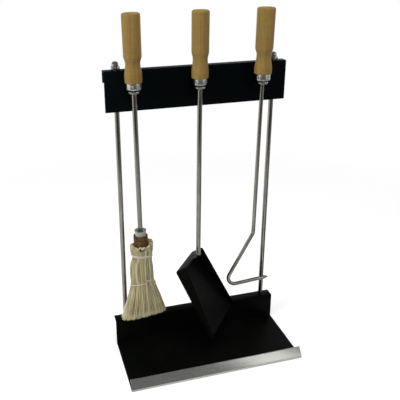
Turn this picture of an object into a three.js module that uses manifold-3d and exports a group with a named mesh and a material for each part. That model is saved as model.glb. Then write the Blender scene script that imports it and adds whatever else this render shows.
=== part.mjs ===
// Fireplace tool set: a folded steel stand on which a broom, a shovel and a poker hang side by side.
//
// Millimetres, +Z up, +X to the right; the open side of the stand faces -Y.
// The origin is at the middle of the base's underside, on the ground.
//
// Each tool is built in a frame of its own, whose origin is the middle of its hanging collar's
// underside, on the axis of its rod. It is then set on its hook, turned and leaned as it hangs.

import * as THREE from "three";
import { mergeVertices } from "three/addons/utils/BufferGeometryUtils.js";
import Module from "manifold-3d";

const wasm = await Module();
wasm.setup();

// ---------------------------------------------------------------- driving dimensions

// Fits
const seatGap = 0.3; // between pieces that bear on each other in a leaned tool, and a glue line
const holeClearance = 0.25; // radial, round a rod or a screw

// Stand
const standWidth = 300; // base, trim and top bar alike

// Base: floor, front lip, riser and rear flange, folded from one sheet
const baseDepth = 145; // front of the trim to the rear edge of the flange
const baseSheet = 2;
const baseBendRadius = 0.5; // inside
const lipHeight = 14.5;
const lipAngle = 52; // between the lip and the floor
const flangeHeight = 48.5; // ground to the top of the flange
const flangeDepth = 18;

// Stainless trim glued over the front lip
const trimSheet = 1;
const trimHemHeight = 4; // how far it turns down behind the lip
const trimHemRadius = 0.4; // inside
const trimCurlAngle = 40; // how far its lower edge follows the fold, below the horizontal

// Uprights and their screws
const uprightDiameter = 8;
const uprightInset = 19.5; // end of the bar to the rod's axis
const uprightScrewDepth = 16; // tapped hole in the foot of the rod
const screwDiameter = 5;
const screwLength = 15;
const screwHeadAcrossFlats = 8;
const screwHeadHeight = 3.5;
const washerDiameter = 10;
const washerThickness = 1;

// Top bar: front plate, top flange and short rear return, folded from one sheet
const barTop = 493.5; // ground to the top of the bar
const barHeight = 64;
const barDepth = 17;
const barReturn = 20;
const barSheet = 1.5;
const barBendRadius = 0.4; // inside

// Nuts on the uprights, above and below the bar's top flange
const nutAcrossFlats = 13;
const capNutHexHeight = 6;
const capNutHeight = 13.6;
const capNutDomeDiameter = 11.4;
const capNutBoreDepth = 10;
const capNutThreadDepth = 9; // how far the rod stands in the cap nut
const lockNutHeight = 5;

// Hooks: forks welded to the bar's front plate
const hookWidth = 22;
const hookSheet = 3;
const hookBendRadius = 1; // inside
const hookReach = 24; // bar's face to the tips of the fork
const hookPlateHeight = 16; // welded leg, from its foot to the top of the fork
const hookSlotWidth = 10;
const hookSeatDepth = 1; // dished seat that keeps the collar from sliding out
const hookDrop = 30.5; // top of the bar to the top of the fork

// Where the tools hang
const toolSpacing = 104.5;
const toolRowOffset = -3.5; // the row of hooks is welded this far left of the bar's middle
const toolStandoff = 18; // rod's axis in front of the bar's face
const liftClearance = 0.3; // between a collar and the rim of its seat

// Handle, ferrule and collar, alike on all three tools
const collarDiameter = 19;
const collarHeight = 4.2;
const collarEdgeRadius = 1.8;
const grooveHeight = 1.4; // between collar and ferrule
const ferruleDiameter = 22;
const ferruleHeight = 10.4;
const ferruleWall = 1;
const ferruleEdgeRadius = 2.5;
const shoulderDiameter = 26; // lower end of the wood, above the ferrule
const bulgeDiameter = 28;
const bulgeRise = 10.5; // shoulder to the widest point of the bulge
const neckDiameter = 22.6;
const neckRise = 29.2; // shoulder to the middle of the neck
const gripDiameter = 27.6;
const gripRise = 41; // shoulder to the foot of the straight grip
const handleLength = 102; // shoulder to the top of the handle
const handleTopDiameter = 28;
const handleTopRadius = 3.5;
const handleFootChamfer = 1;
const bulgeEase = 7; // how gently the bulge, neck and grip run into each other, up and down
const neckEaseDown = 8;
const neckEaseUp = 5;
const gripEase = 4;
const tangDepth = 60; // how far the rod runs up into the handle, from the ferrule's foot

// Broom
const broomLean = 0.8; // its foot hangs this many degrees to the right of plumb
const broomTurn = 6;
const broomRodDiameter = 8;
const socketDrop = 230.7; // collar's underside to the top of the socket
const socketDiameter = 18.6;
const socketRimDiameter = 20.4; // its mouth flares out to this
const socketFlareHeight = 4; // of the flare, up to the rim
const socketHeight = 8.8;
const socketWall = 1;
const socketRecess = 3.2; // its floor lies this far below the rim
const socketThroatDiameter = 12.4; // the mouth narrows to this at the floor
const stockDiameter = 24; // turned wooden stock below the socket
const stockHeight = 21.3;
const stockEdgeRadius = 1;
const stockRodDepth = 12; // rod's end below the socket's inner wall
const coreDiameter = 16; // tenon of the stock, inside the bristles
const coreLength = 22;
const bundleShoulderRise = 7; // bristle loops rise this far beside the stock
const bundleShoulderWidth = 38;
const bundleShoulderDepth = 20;
const bundleCrownRadius = 4.5; // rounding of the shoulders' top
const neckBindingDrop = 18.5; // stock's foot to the middle of the upper binding
const neckBindingWidth = 32;
const neckBindingDepth = 21;
const waistBindingDrop = 67.6; // stock's foot to the middle of the lower binding
const waistBindingWidth = 41;
const waistBindingDepth = 20;
const bundleBellyDrop = 42; // stock's foot to the fullest place between the bindings
const bundleBellyWidth = 39;
const bundleBellyDepth = 21.5;
const bundleFootDrop = 134; // stock's foot to the bristles' tips
const bundleFootWidth = 82;
const bundleFootDepth = 25;
const neckCordHeight = 3;
const neckCordThickness = 1.6;
const waistCordHeight = 1.6;
const waistCordThickness = 1;

// Shovel
const shovelTurn = 51.4; // the pan hangs turned this far from facing the front
const shovelRodDiameter = 8;
const shovelRodDrop = 294.8; // collar's underside to the rod's end, on its axis
const panTilt = 34; // between the rod and the pan's floor
const panRearWidth = 79;
const panFrontWidth = 113;
const panLength = 128;
const panWallHeight = 24;
const panFrontWallHeight = 8;
const panSheet = 1.5;
const panCornerRadius = 2.5; // inside
const lugWidth = 13;
const lugCentreHeight = 32.5; // above the pan's underside; the rod stands on the lug here
const panSeamOverlap = 0.2; // walls sunk into the floor, as one piece

// Poker
const pokerLean = -0.65;
const pokerRodDiameter = 6.6;
const pokerStraightDrop = 265.8; // collar's underside to the first bend
const pokerSlant = 28; // from plumb, to the left
const pokerSlantLength = 114; // first bend to the corner of the hook
const pokerArmRise = 4.7; // above the horizontal, to the right
const pokerArmLength = 88; // corner of the hook to the point
const pokerPointLength = 15;
const pokerPointDiameter = 1.2;
const pokerPointRoot = 1; // how far the forged point's foot is sunk in the bar
const pokerPointStep = 0.1; // the point's foot is this much thinner than the bar, all round
const pokerFirstBendRadius = 14; // on the rod's axis
const pokerHookRadius = 14; // on the rod's axis

// Facets
const roundSides = 20;
const rodSides = 20;
const bendSteps = 5;
const hookBendSteps = 12;
const crownSteps = 3;

// ---------------------------------------------------------------- finishes

const finish = (color, roughness, metalness) => ({ color, roughness, metalness });
const blackPaint = finish(0x161617, 0.5, 0.3);
const brushedSteel = finish(0xb9bab6, 0.35, 1);
const polishedRod = finish(0xa9aaa8, 0.25, 1);
const chrome = finish(0xd6d6d4, 0.15, 1);
const zincSteel = finish(0x9a9a98, 0.4, 1);
const beech = finish(0xc79a60, 0.55, 0);
const darkWood = finish(0x6a4a30, 0.6, 0);
const greyMetal = finish(0x8d8e8e, 0.4, 1);
const strawFibre = finish(0xd9cba6, 0.9, 0);
const bindingCord = finish(0xd6cdb4, 0.9, 0);

// ---------------------------------------------------------------- helpers: solids

const radians = THREE.MathUtils.degToRad;

/** Closed three.js geometry to a manifold solid. */
function toSolid(geometry) {
  const bare = geometry.clone();
  bare.deleteAttribute("normal");
  bare.deleteAttribute("uv");
  const merged = mergeVertices(bare, 1e-5);
  return new wasm.Manifold(
    new wasm.Mesh({
      numProp: 3,
      vertProperties: new Float32Array(merged.attributes.position.array),
      triVerts: new Uint32Array(merged.index.array),
    }),
  );
}

/** Manifold solid back to a three.js geometry. */
function toGeometry(solid) {
  const mesh = solid.getMesh();
  const geometry = new THREE.BufferGeometry();
  geometry.setAttribute("position", new THREE.BufferAttribute(mesh.vertProperties, 3));
  geometry.setIndex(new THREE.BufferAttribute(mesh.triVerts, 1));
  geometry.computeVertexNormals();
  return geometry;
}

function join(...geometries) {
  return toGeometry(geometries.map(toSolid).reduce((whole, piece) => whole.add(piece)));
}

function cut(geometry, ...tools) {
  return toGeometry(tools.map(toSolid).reduce((left, tool) => left.subtract(tool), toSolid(geometry)));
}

/** Named piece with its own material. */
function piece(name, geometry, look) {
  const mesh = new THREE.Mesh(geometry, new THREE.MeshStandardMaterial(look));
  mesh.name = name;
  return mesh;
}

// ---------------------------------------------------------------- helpers: forms

/** Upright cylinder from z = low to z = high. */
function rod(diameter, low, high, sides = rodSides) {
  return new THREE.CylinderGeometry(diameter / 2, diameter / 2, high - low, sides)
    .rotateX(Math.PI / 2)
    .translate(0, 0, (low + high) / 2);
}

/** Upright hexagonal prism from z = low to z = high, with two corners along Y. */
function hexagon(acrossFlats, low, high) {
  return rod(acrossFlats / Math.cos(Math.PI / 6), low, high, 6);
}

/** Box between two corners. */
function block(lowX, highX, lowY, highY, lowZ, highZ) {
  return new THREE.BoxGeometry(highX - lowX, highY - lowY, highZ - lowZ).translate(
    (lowX + highX) / 2,
    (lowY + highY) / 2,
    (lowZ + highZ) / 2,
  );
}

/** Solid of revolution about Z of a path drawn in (radius, height). */
function revolve(path, curveSteps = 5) {
  const points = path.getPoints(curveSteps).filter((point, i, all) => i === 0 || !point.equals(all[i - 1]));
  const turned = new THREE.LatheGeometry(points, roundSides).rotateX(Math.PI / 2);
  return toGeometry(toSolid(turned));
}

/** Corners with each inner one rounded to the radius, as a chain of points. */
function roundCorners(corners, radius, steps = bendSteps) {
  const chain = [corners[0].clone()];
  for (let i = 1; i < corners.length - 1; i += 1) {
    const incoming = corners[i].clone().sub(corners[i - 1]).normalize();
    const outgoing = corners[i + 1].clone().sub(corners[i]).normalize();
    const turn = Math.acos(THREE.MathUtils.clamp(incoming.dot(outgoing), -1, 1));
    const setback = radius * Math.tan(turn / 2);
    const start = corners[i].clone().addScaledVector(incoming, -setback);
    const inward = outgoing.clone().addScaledVector(incoming, -incoming.dot(outgoing)).normalize();
    const centre = start.clone().addScaledVector(inward, radius);
    for (let k = 0; k <= steps; k += 1) {
      const angle = (turn * k) / steps;
      chain.push(
        centre
          .clone()
          .addScaledVector(inward, -radius * Math.cos(angle))
          .addScaledVector(incoming, radius * Math.sin(angle)),
      );
    }
  }
  chain.push(corners[corners.length - 1].clone());
  return chain;
}

/** Outline of a strip of even thickness that follows a chain of points. */
function stripShape(chain, thickness) {
  const leftSide = [];
  const rightSide = [];
  chain.forEach((point, i) => {
    const before = point.clone().sub(chain[Math.max(i - 1, 0)]).normalize();
    const after = chain[Math.min(i + 1, chain.length - 1)].clone().sub(point).normalize();
    const along = before.clone().add(after).normalize();
    const mitre = i === 0 || i === chain.length - 1 ? 1 : along.dot(after);
    const across = new THREE.Vector2(-along.y, along.x).multiplyScalar(thickness / 2 / mitre);
    leftSide.push(point.clone().add(across));
    rightSide.unshift(point.clone().sub(across));
  });
  return new THREE.Shape([...leftSide, ...rightSide]);
}

/** Shape drawn in (y, z), extruded along X and centred on x = 0. */
function extrudeAcross(shape, width) {
  const toSide = new THREE.Matrix4().makeBasis(
    new THREE.Vector3(0, 1, 0),
    new THREE.Vector3(0, 0, 1),
    new THREE.Vector3(1, 0, 0),
  );
  return new THREE.ExtrudeGeometry(shape, { depth: width, bevelEnabled: false })
    .applyMatrix4(toSide)
    .translate(-width / 2, 0, 0);
}

/** Shape drawn in (x, y), extruded upwards from z = low to z = high. */
function extrudeUp(shape, low, high) {
  return new THREE.ExtrudeGeometry(shape, { depth: high - low, bevelEnabled: false }).translate(0, 0, low);
}

/** Closed skin over a stack of rings that have the same number of points, with flat ends. */
function skinRings(rings) {
  const count = rings[0].length;
  const middle = (ring) =>
    ring.reduce((sum, point) => sum.add(point), new THREE.Vector3()).divideScalar(count);
  const vertices = [...rings.flat(), middle(rings[0]), middle(rings[rings.length - 1])];
  const lowCentre = vertices.length - 2;
  const highCentre = vertices.length - 1;
  const triangles = [];
  for (let i = 0; i < count; i += 1) {
    const next = (i + 1) % count;
    for (let ring = 0; ring < rings.length - 1; ring += 1) {
      const low = ring * count;
      const high = low + count;
      triangles.push(low + i, low + next, high + next, low + i, high + next, high + i);
    }
    const last = (rings.length - 1) * count;
    triangles.push(lowCentre, next, i, highCentre, last + i, last + next);
  }
  const geometry = new THREE.BufferGeometry().setFromPoints(vertices);
  geometry.setIndex(triangles);
  geometry.computeVertexNormals();
  return geometry;
}

/** Chain of points as a curve with one step from each point to the next. */
class ChainCurve extends THREE.Curve {
  constructor(chain) {
    super();
    this.chain = chain;
  }

  getPoint(t, target = new THREE.Vector3()) {
    const place = THREE.MathUtils.clamp(t, 0, 1) * (this.chain.length - 1);
    const index = Math.min(Math.floor(place + 1e-6), this.chain.length - 2);
    return target.lerpVectors(this.chain[index], this.chain[index + 1], place - index);
  }

  getPointAt(t, target) {
    return this.getPoint(t, target);
  }

  getTangentAt(t, target = new THREE.Vector3()) {
    const index = Math.round(t * (this.chain.length - 1));
    const before = this.chain[Math.max(index - 1, 0)];
    const here = this.chain[index];
    const after = this.chain[Math.min(index + 1, this.chain.length - 1)];
    const incoming = here.clone().sub(before).normalize();
    const outgoing = after.clone().sub(here).normalize();
    return target.copy(incoming).add(outgoing).normalize();
  }
}

/** Round bar that follows a chain of points. */
function roundBar(chain, diameter) {
  const section = new THREE.Shape().absarc(0, 0, diameter / 2, 0, 2 * Math.PI);
  return new THREE.ExtrudeGeometry(section, {
    steps: chain.length - 1,
    curveSegments: rodSides / 2,
    extrudePath: new ChainCurve(chain),
  });
}

// ---------------------------------------------------------------- places shared by several pieces

const rearEdge = baseDepth / 2;
const riserFace = rearEdge - flangeDepth;
const uprightY = rearEdge - flangeDepth / 2;
const uprightX = standWidth / 2 - uprightInset;
const barFace = uprightY - barDepth / 2;
const barUnderFlange = barTop - barSheet;
const hookTop = barTop - hookDrop;
const collarSeat = hookTop - hookSeatDepth;
const toolY = barFace - toolStandoff;

const foldRadius = baseBendRadius + baseSheet; // outside of the front fold
const trimOuterRadius = foldRadius + seatGap + trimSheet;
const foldCentre = new THREE.Vector2(-baseDepth / 2 + trimOuterRadius, foldRadius);
const lipAlong = new THREE.Vector2(Math.cos(radians(lipAngle)), Math.sin(radians(lipAngle)));
const lipOutward = new THREE.Vector2(-lipAlong.y, lipAlong.x);

// Heights in a tool's own frame
const ferruleFoot = collarHeight + grooveHeight;
const shoulder = ferruleFoot + ferruleHeight;
const rodTop = ferruleFoot + tangDepth;

/** Point of the lip's middle plane at a height, moved outwards by a distance. */
function lipPoint(height, outwards) {
  const start = foldCentre.clone().addScaledVector(lipOutward, foldRadius - baseSheet / 2);
  return start
    .addScaledVector(lipAlong, (height - start.y) / lipAlong.y)
    .addScaledVector(lipOutward, outwards);
}

// ---------------------------------------------------------------- stand

function baseTray() {
  const middleRadius = baseBendRadius + baseSheet / 2;
  const foldSetback = middleRadius * Math.tan(radians(180 - lipAngle) / 2);
  const corners = [
    lipPoint(lipHeight, 0),
    new THREE.Vector2(foldCentre.x - foldSetback, baseSheet / 2),
    new THREE.Vector2(riserFace + baseSheet / 2, baseSheet / 2),
    new THREE.Vector2(riserFace + baseSheet / 2, flangeHeight - baseSheet / 2),
    new THREE.Vector2(rearEdge, flangeHeight - baseSheet / 2),
  ];
  const sheet = extrudeAcross(stripShape(roundCorners(corners, middleRadius), baseSheet), standWidth);
  const holes = [-uprightX, uprightX].map((x) =>
    rod(screwDiameter + 2 * holeClearance, flangeHeight - 2 * baseSheet, flangeHeight + baseSheet).translate(
      x,
      uprightY,
      0,
    ),
  );
  return piece("base_tray", cut(sheet, ...holes), blackPaint);
}

function frontTrim() {
  const outwards = baseSheet / 2 + seatGap + trimSheet / 2;
  const curlRadius = trimOuterRadius - trimSheet / 2;
  const curlEnd = radians(180 + trimCurlAngle);
  const curlStart = Math.atan2(lipOutward.y, lipOutward.x);
  const curl = [];
  for (let k = 0; k <= bendSteps; k += 1) {
    const angle = THREE.MathUtils.lerp(curlEnd, curlStart, k / bendSteps);
    curl.push(
      new THREE.Vector2(Math.cos(angle), Math.sin(angle)).multiplyScalar(curlRadius).add(foldCentre),
    );
  }
  const overLip = lipAlong.clone().multiplyScalar(seatGap + trimSheet / 2);
  const hemTop = [
    curl[curl.length - 1],
    lipPoint(lipHeight, outwards).add(overLip),
    lipPoint(lipHeight, -outwards).add(overLip),
    lipPoint(lipHeight, -outwards).addScaledVector(lipAlong, -trimHemHeight),
  ];
  const chain = [...curl.slice(0, -1), ...roundCorners(hemTop, trimHemRadius + trimSheet / 2)];
  return piece("front_trim", extrudeAcross(stripShape(chain, trimSheet), standWidth), brushedSteel);
}

function upright(side, x) {
  const foot = flangeHeight;
  const top = barTop + capNutThreadDepth;
  const bore = rod(screwDiameter + 2 * holeClearance, foot - 1, foot + uprightScrewDepth);
  const solid = cut(rod(uprightDiameter, foot, top), bore);
  return piece(`upright_${side}`, solid.translate(x, uprightY, 0), polishedRod);
}

function footWasher(side, x) {
  const top = flangeHeight - baseSheet;
  const disc = rod(washerDiameter, top - washerThickness, top);
  const hole = rod(screwDiameter + 2 * holeClearance, top - 2 * washerThickness, top + washerThickness);
  return piece(`foot_washer_${side}`, cut(disc, hole).translate(x, uprightY, 0), zincSteel);
}

function footScrew(side, x) {
  const headTop = flangeHeight - baseSheet - washerThickness;
  const head = hexagon(screwHeadAcrossFlats, headTop - screwHeadHeight, headTop);
  const shank = rod(screwDiameter, headTop - screwHeadHeight / 2, headTop + screwLength);
  return piece(`foot_screw_${side}`, join(head, shank).translate(x, uprightY, 0), zincSteel);
}

function topBar() {
  const inset = barSheet / 2;
  const corners = [
    new THREE.Vector2(barFace + inset, barTop - barHeight),
    new THREE.Vector2(barFace + inset, barTop - inset),
    new THREE.Vector2(barFace + barDepth - inset, barTop - inset),
    new THREE.Vector2(barFace + barDepth - inset, barTop - barReturn),
  ];
  const chain = roundCorners(corners, barBendRadius + inset);
  const sheet = extrudeAcross(stripShape(chain, barSheet), standWidth);
  const holes = [-uprightX, uprightX].map((x) =>
    rod(uprightDiameter + 2 * holeClearance, barTop - 2 * barSheet, barTop + barSheet).translate(
      x,
      uprightY,
      0,
    ),
  );
  return piece("top_bar", cut(sheet, ...holes), blackPaint);
}

function capNut(side, x) {
  const radius = capNutDomeDiameter / 2;
  const domeFoot = capNutHeight - radius;
  const dome = revolve(
    new THREE.Path()
      .moveTo(0, capNutHexHeight / 2)
      .lineTo(radius, capNutHexHeight / 2)
      .lineTo(radius, domeFoot)
      .absarc(0, domeFoot, radius, 0, Math.PI / 2, false),
  );
  const bore = rod(uprightDiameter + 2 * holeClearance, -1, capNutBoreDepth);
  const solid = cut(join(hexagon(nutAcrossFlats, 0, capNutHexHeight), dome), bore);
  return piece(`cap_nut_${side}`, solid.translate(x, uprightY, barTop), polishedRod);
}

function lockNut(side, x) {
  const bore = rod(uprightDiameter + 2 * holeClearance, -lockNutHeight - 1, 1);
  // Two flats face the bar's plates, which are too close together for its corners.
  const solid = cut(hexagon(nutAcrossFlats, -lockNutHeight, 0).rotateZ(Math.PI / 6), bore);
  return piece(`lock_nut_${side}`, solid.translate(x, uprightY, barUnderFlange), zincSteel);
}

function toolHook(side, x) {
  const corners = [
    new THREE.Vector2(barFace - hookReach, hookTop - hookSheet / 2),
    new THREE.Vector2(barFace - hookSheet / 2, hookTop - hookSheet / 2),
    new THREE.Vector2(barFace - hookSheet / 2, hookTop - hookPlateHeight),
  ];
  const bracket = extrudeAcross(
    stripShape(roundCorners(corners, hookBendRadius + hookSheet / 2), hookSheet),
    hookWidth,
  );
  const slotFoot = hookTop - 2 * hookSheet;
  const slotTop = hookTop + hookSheet;
  const slotEnd = rod(hookSlotWidth, slotFoot, slotTop).translate(0, toolY, 0);
  const slotMouth = block(
    -hookSlotWidth / 2,
    hookSlotWidth / 2,
    barFace - hookReach - hookSheet,
    toolY,
    slotFoot,
    slotTop,
  );
  const seat = rod(collarDiameter + 2 * liftClearance, collarSeat - seatGap, slotTop, roundSides);
  const solid = cut(bracket, slotEnd, slotMouth, seat.translate(0, toolY, 0));
  return piece(`hook_${side}`, solid.translate(x, 0, 0), blackPaint);
}

// ---------------------------------------------------------------- handle end, alike on every tool

function handle(tool, rodDiameter) {
  const bore = rodDiameter / 2 + holeClearance;
  const spigot = ferruleDiameter / 2 - ferruleWall - seatGap;
  const spigotFoot = ferruleFoot + ferruleWall + seatGap;
  const spigotChamfer = ferruleEdgeRadius - ferruleWall;
  const top = shoulder + handleLength;
  const foot = shoulder + seatGap;
  const bulgeRadius = bulgeDiameter / 2;
  const neckRadius = neckDiameter / 2;
  const gripRadius = gripDiameter / 2;
  const topRadius = handleTopDiameter / 2;
  const bulge = shoulder + bulgeRise;
  const neck = shoulder + neckRise;
  const gripFoot = shoulder + gripRise;
  const profile = new THREE.Path()
    .moveTo(0, rodTop + seatGap)
    .lineTo(bore, rodTop + seatGap)
    .lineTo(bore, spigotFoot)
    .lineTo(spigot - spigotChamfer, spigotFoot)
    .lineTo(spigot, spigotFoot + spigotChamfer)
    .lineTo(spigot, foot)
    .lineTo(shoulderDiameter / 2 - handleFootChamfer, foot)
    .lineTo(shoulderDiameter / 2, foot + handleFootChamfer)
    .quadraticCurveTo(bulgeRadius, (foot + handleFootChamfer + bulge) / 2, bulgeRadius, bulge)
    .bezierCurveTo(bulgeRadius, bulge + bulgeEase, neckRadius, neck - neckEaseDown, neckRadius, neck)
    .bezierCurveTo(neckRadius, neck + neckEaseUp, gripRadius, gripFoot - gripEase, gripRadius, gripFoot)
    .lineTo(topRadius, top - handleTopRadius)
    .absarc(topRadius - handleTopRadius, top - handleTopRadius, handleTopRadius, 0, Math.PI / 2, false)
    .lineTo(0, top);
  return piece(`${tool}_handle`, revolve(profile), beech);
}

function ferrule(tool, rodDiameter) {
  const outer = ferruleDiameter / 2;
  const inner = outer - ferruleWall;
  const hole = rodDiameter / 2 + holeClearance;
  const edge = ferruleEdgeRadius;
  const profile = new THREE.Path()
    .moveTo(hole, ferruleFoot)
    .lineTo(outer - edge, ferruleFoot)
    .absarc(outer - edge, ferruleFoot + edge, edge, -Math.PI / 2, 0, false)
    .lineTo(outer, shoulder)
    .lineTo(inner, shoulder)
    .lineTo(inner, ferruleFoot + edge)
    .absarc(outer - edge, ferruleFoot + edge, edge - ferruleWall, 0, -Math.PI / 2, true)
    .lineTo(hole, ferruleFoot + ferruleWall)
    .lineTo(hole, ferruleFoot);
  return piece(`${tool}_ferrule`, revolve(profile, 3), chrome);
}

function hangCollar(tool, rodDiameter) {
  const outer = collarDiameter / 2;
  const hole = rodDiameter / 2 + holeClearance;
  const edge = collarEdgeRadius;
  const profile = new THREE.Path()
    .moveTo(hole, 0)
    .lineTo(outer - edge, 0)
    .absarc(outer - edge, edge, edge, -Math.PI / 2, 0, false)
    .lineTo(outer, collarHeight - edge)
    .absarc(outer - edge, collarHeight - edge, edge, 0, Math.PI / 2, false)
    .lineTo(hole, collarHeight)
    .lineTo(hole, 0);
  return piece(`${tool}_hang_collar`, revolve(profile, 3), chrome);
}

/** Handle, ferrule and hanging collar, in a tool's own frame. */
function handleEnd(tool, rodDiameter) {
  return [handle(tool, rodDiameter), ferrule(tool, rodDiameter), hangCollar(tool, rodDiameter)];
}

// ---------------------------------------------------------------- broom

const socketTop = -socketDrop;
const socketFoot = socketTop - socketHeight;
const stockFoot = socketFoot - stockHeight;
const socketFloor = socketTop - socketRecess;
const broomRodFoot = socketFloor - socketWall - stockRodDepth;

function broomSocket() {
  const outer = socketDiameter / 2;
  const inner = outer - socketWall;
  const rim = socketRimDiameter / 2;
  const hole = broomRodDiameter / 2 + holeClearance;
  const flareFoot = socketTop - socketFlareHeight;
  const profile = new THREE.Path()
    .moveTo(hole, socketFloor - socketWall)
    .lineTo(inner, socketFloor - socketWall)
    .lineTo(inner, socketFoot)
    .lineTo(outer, socketFoot)
    .lineTo(outer, flareFoot)
    .quadraticCurveTo(outer, (flareFoot + socketTop) / 2, rim, socketTop)
    .lineTo(rim - socketWall, socketTop)
    .lineTo(socketThroatDiameter / 2, socketFloor)
    .lineTo(hole, socketFloor)
    .lineTo(hole, socketFloor - socketWall);
  return piece("broom_socket", revolve(profile, 2), greyMetal);
}

function broomStock() {
  const bore = broomRodDiameter / 2 + holeClearance;
  const spigot = socketDiameter / 2 - socketWall - seatGap;
  const spigotTop = socketFloor - socketWall - seatGap;
  const top = socketFoot - seatGap;
  const outer = stockDiameter / 2;
  const edge = stockEdgeRadius;
  const profile = new THREE.Path()
    .moveTo(0, stockFoot - coreLength)
    .lineTo(coreDiameter / 2, stockFoot - coreLength)
    .lineTo(coreDiameter / 2, stockFoot)
    .lineTo(outer - edge, stockFoot)
    .absarc(outer - edge, stockFoot + edge, edge, -Math.PI / 2, 0, false)
    .lineTo(outer, top - edge)
    .absarc(outer - edge, top - edge, edge, 0, Math.PI / 2, false)
    .lineTo(spigot, top)
    .lineTo(spigot, spigotTop)
    .lineTo(bore, spigotTop)
    .lineTo(bore, broomRodFoot - seatGap)
    .lineTo(0, broomRodFoot - seatGap);
  return piece("broom_stock", revolve(profile, 4), darkWood);
}

/** Rounded flat section of the bristle bundle, drawn about the rod's axis. */
function bundleSection(width, depth, flatness) {
  const points = [];
  for (let i = 0; i < roundSides; i += 1) {
    const angle = (2 * Math.PI * i) / roundSides;
    const cos = Math.cos(angle);
    const sin = Math.sin(angle);
    const x = (Math.sign(cos) * Math.abs(cos) ** (2 / flatness) * width) / 2;
    const y = (Math.sign(sin) * Math.abs(sin) ** (2 / flatness) * depth) / 2;
    points.push(new THREE.Vector2(x, y));
  }
  return points;
}

const neckFlatness = 2.2;
const footFlatness = 3.2;

/** One ring of the bundle at a depth below the stock's foot. */
function bundleRing(drop, width, depth, flatness = neckFlatness) {
  return bundleSection(width, depth, flatness).map(
    (point) => new THREE.Vector3(point.x, point.y, stockFoot - drop),
  );
}

function broomBristles() {
  const lerp = THREE.MathUtils.lerp;
  const neckHalf = neckCordHeight / 2 + seatGap;
  const waistHalf = waistCordHeight / 2 + seatGap;
  const fan = [1, 0.65, 0.3].map((part) =>
    bundleRing(
      lerp(waistBindingDrop + waistHalf, bundleFootDrop, part),
      lerp(waistBindingWidth, bundleFootWidth, part ** 1.15),
      lerp(waistBindingDepth, bundleFootDepth, part),
      lerp(neckFlatness, footFlatness, part),
    ),
  );
  const shoulderDrop = (neckBindingDrop - neckHalf) / 2;
  const crown = [];
  for (let k = 0; k <= crownSteps; k += 1) {
    const angle = (Math.PI * k) / (2 * crownSteps);
    const inwards = 2 * bundleCrownRadius * (1 - Math.cos(angle));
    const below = bundleCrownRadius * (1 - Math.sin(angle));
    crown.push(
      bundleRing(
        below - bundleShoulderRise,
        bundleShoulderWidth - inwards,
        bundleShoulderDepth - inwards,
      ),
    );
  }
  const rings = [
    ...fan,
    bundleRing(waistBindingDrop + waistHalf, waistBindingWidth, waistBindingDepth),
    bundleRing(waistBindingDrop - waistHalf, waistBindingWidth, waistBindingDepth),
    bundleRing(bundleBellyDrop, bundleBellyWidth, bundleBellyDepth),
    bundleRing(neckBindingDrop + neckHalf, neckBindingWidth, neckBindingDepth),
    bundleRing(neckBindingDrop - neckHalf, neckBindingWidth, neckBindingDepth),
    bundleRing(shoulderDrop, bundleShoulderWidth, bundleShoulderDepth),
    ...crown,
  ];
  const stockSpace = rod(stockDiameter + 2 * seatGap, stockFoot - seatGap, socketFoot, roundSides);
  const coreSpace = rod(
    coreDiameter + 2 * seatGap,
    stockFoot - coreLength - seatGap,
    socketFoot,
    roundSides,
  );
  return piece("broom_bristles", cut(skinRings(rings), stockSpace, coreSpace), strawFibre);
}

/** Cord wound round the bundle: a flat band with rounded edges. */
function binding(name, drop, width, depth, height, thickness) {
  const grow = 2 * (seatGap + thickness);
  const shape = new THREE.Shape(bundleSection(width + grow, depth + grow, neckFlatness));
  shape.holes.push(new THREE.Path(bundleSection(width + 2 * seatGap, depth + 2 * seatGap, neckFlatness)));
  const middle = stockFoot - drop;
  return piece(name, extrudeUp(shape, middle - height / 2, middle + height / 2), bindingCord);
}

function broom() {
  const group = new THREE.Group();
  group.add(
    ...handleEnd("broom", broomRodDiameter),
    piece("broom_rod", rod(broomRodDiameter, broomRodFoot, rodTop), polishedRod),
    broomSocket(),
    broomStock(),
    broomBristles(),
    binding(
      "broom_neck_binding",
      neckBindingDrop,
      neckBindingWidth,
      neckBindingDepth,
      neckCordHeight,
      neckCordThickness,
    ),
    binding(
      "broom_waist_binding",
      waistBindingDrop,
      waistBindingWidth,
      waistBindingDepth,
      waistCordHeight,
      waistCordThickness,
    ),
  );
  return group;
}

// ---------------------------------------------------------------- shovel

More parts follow.
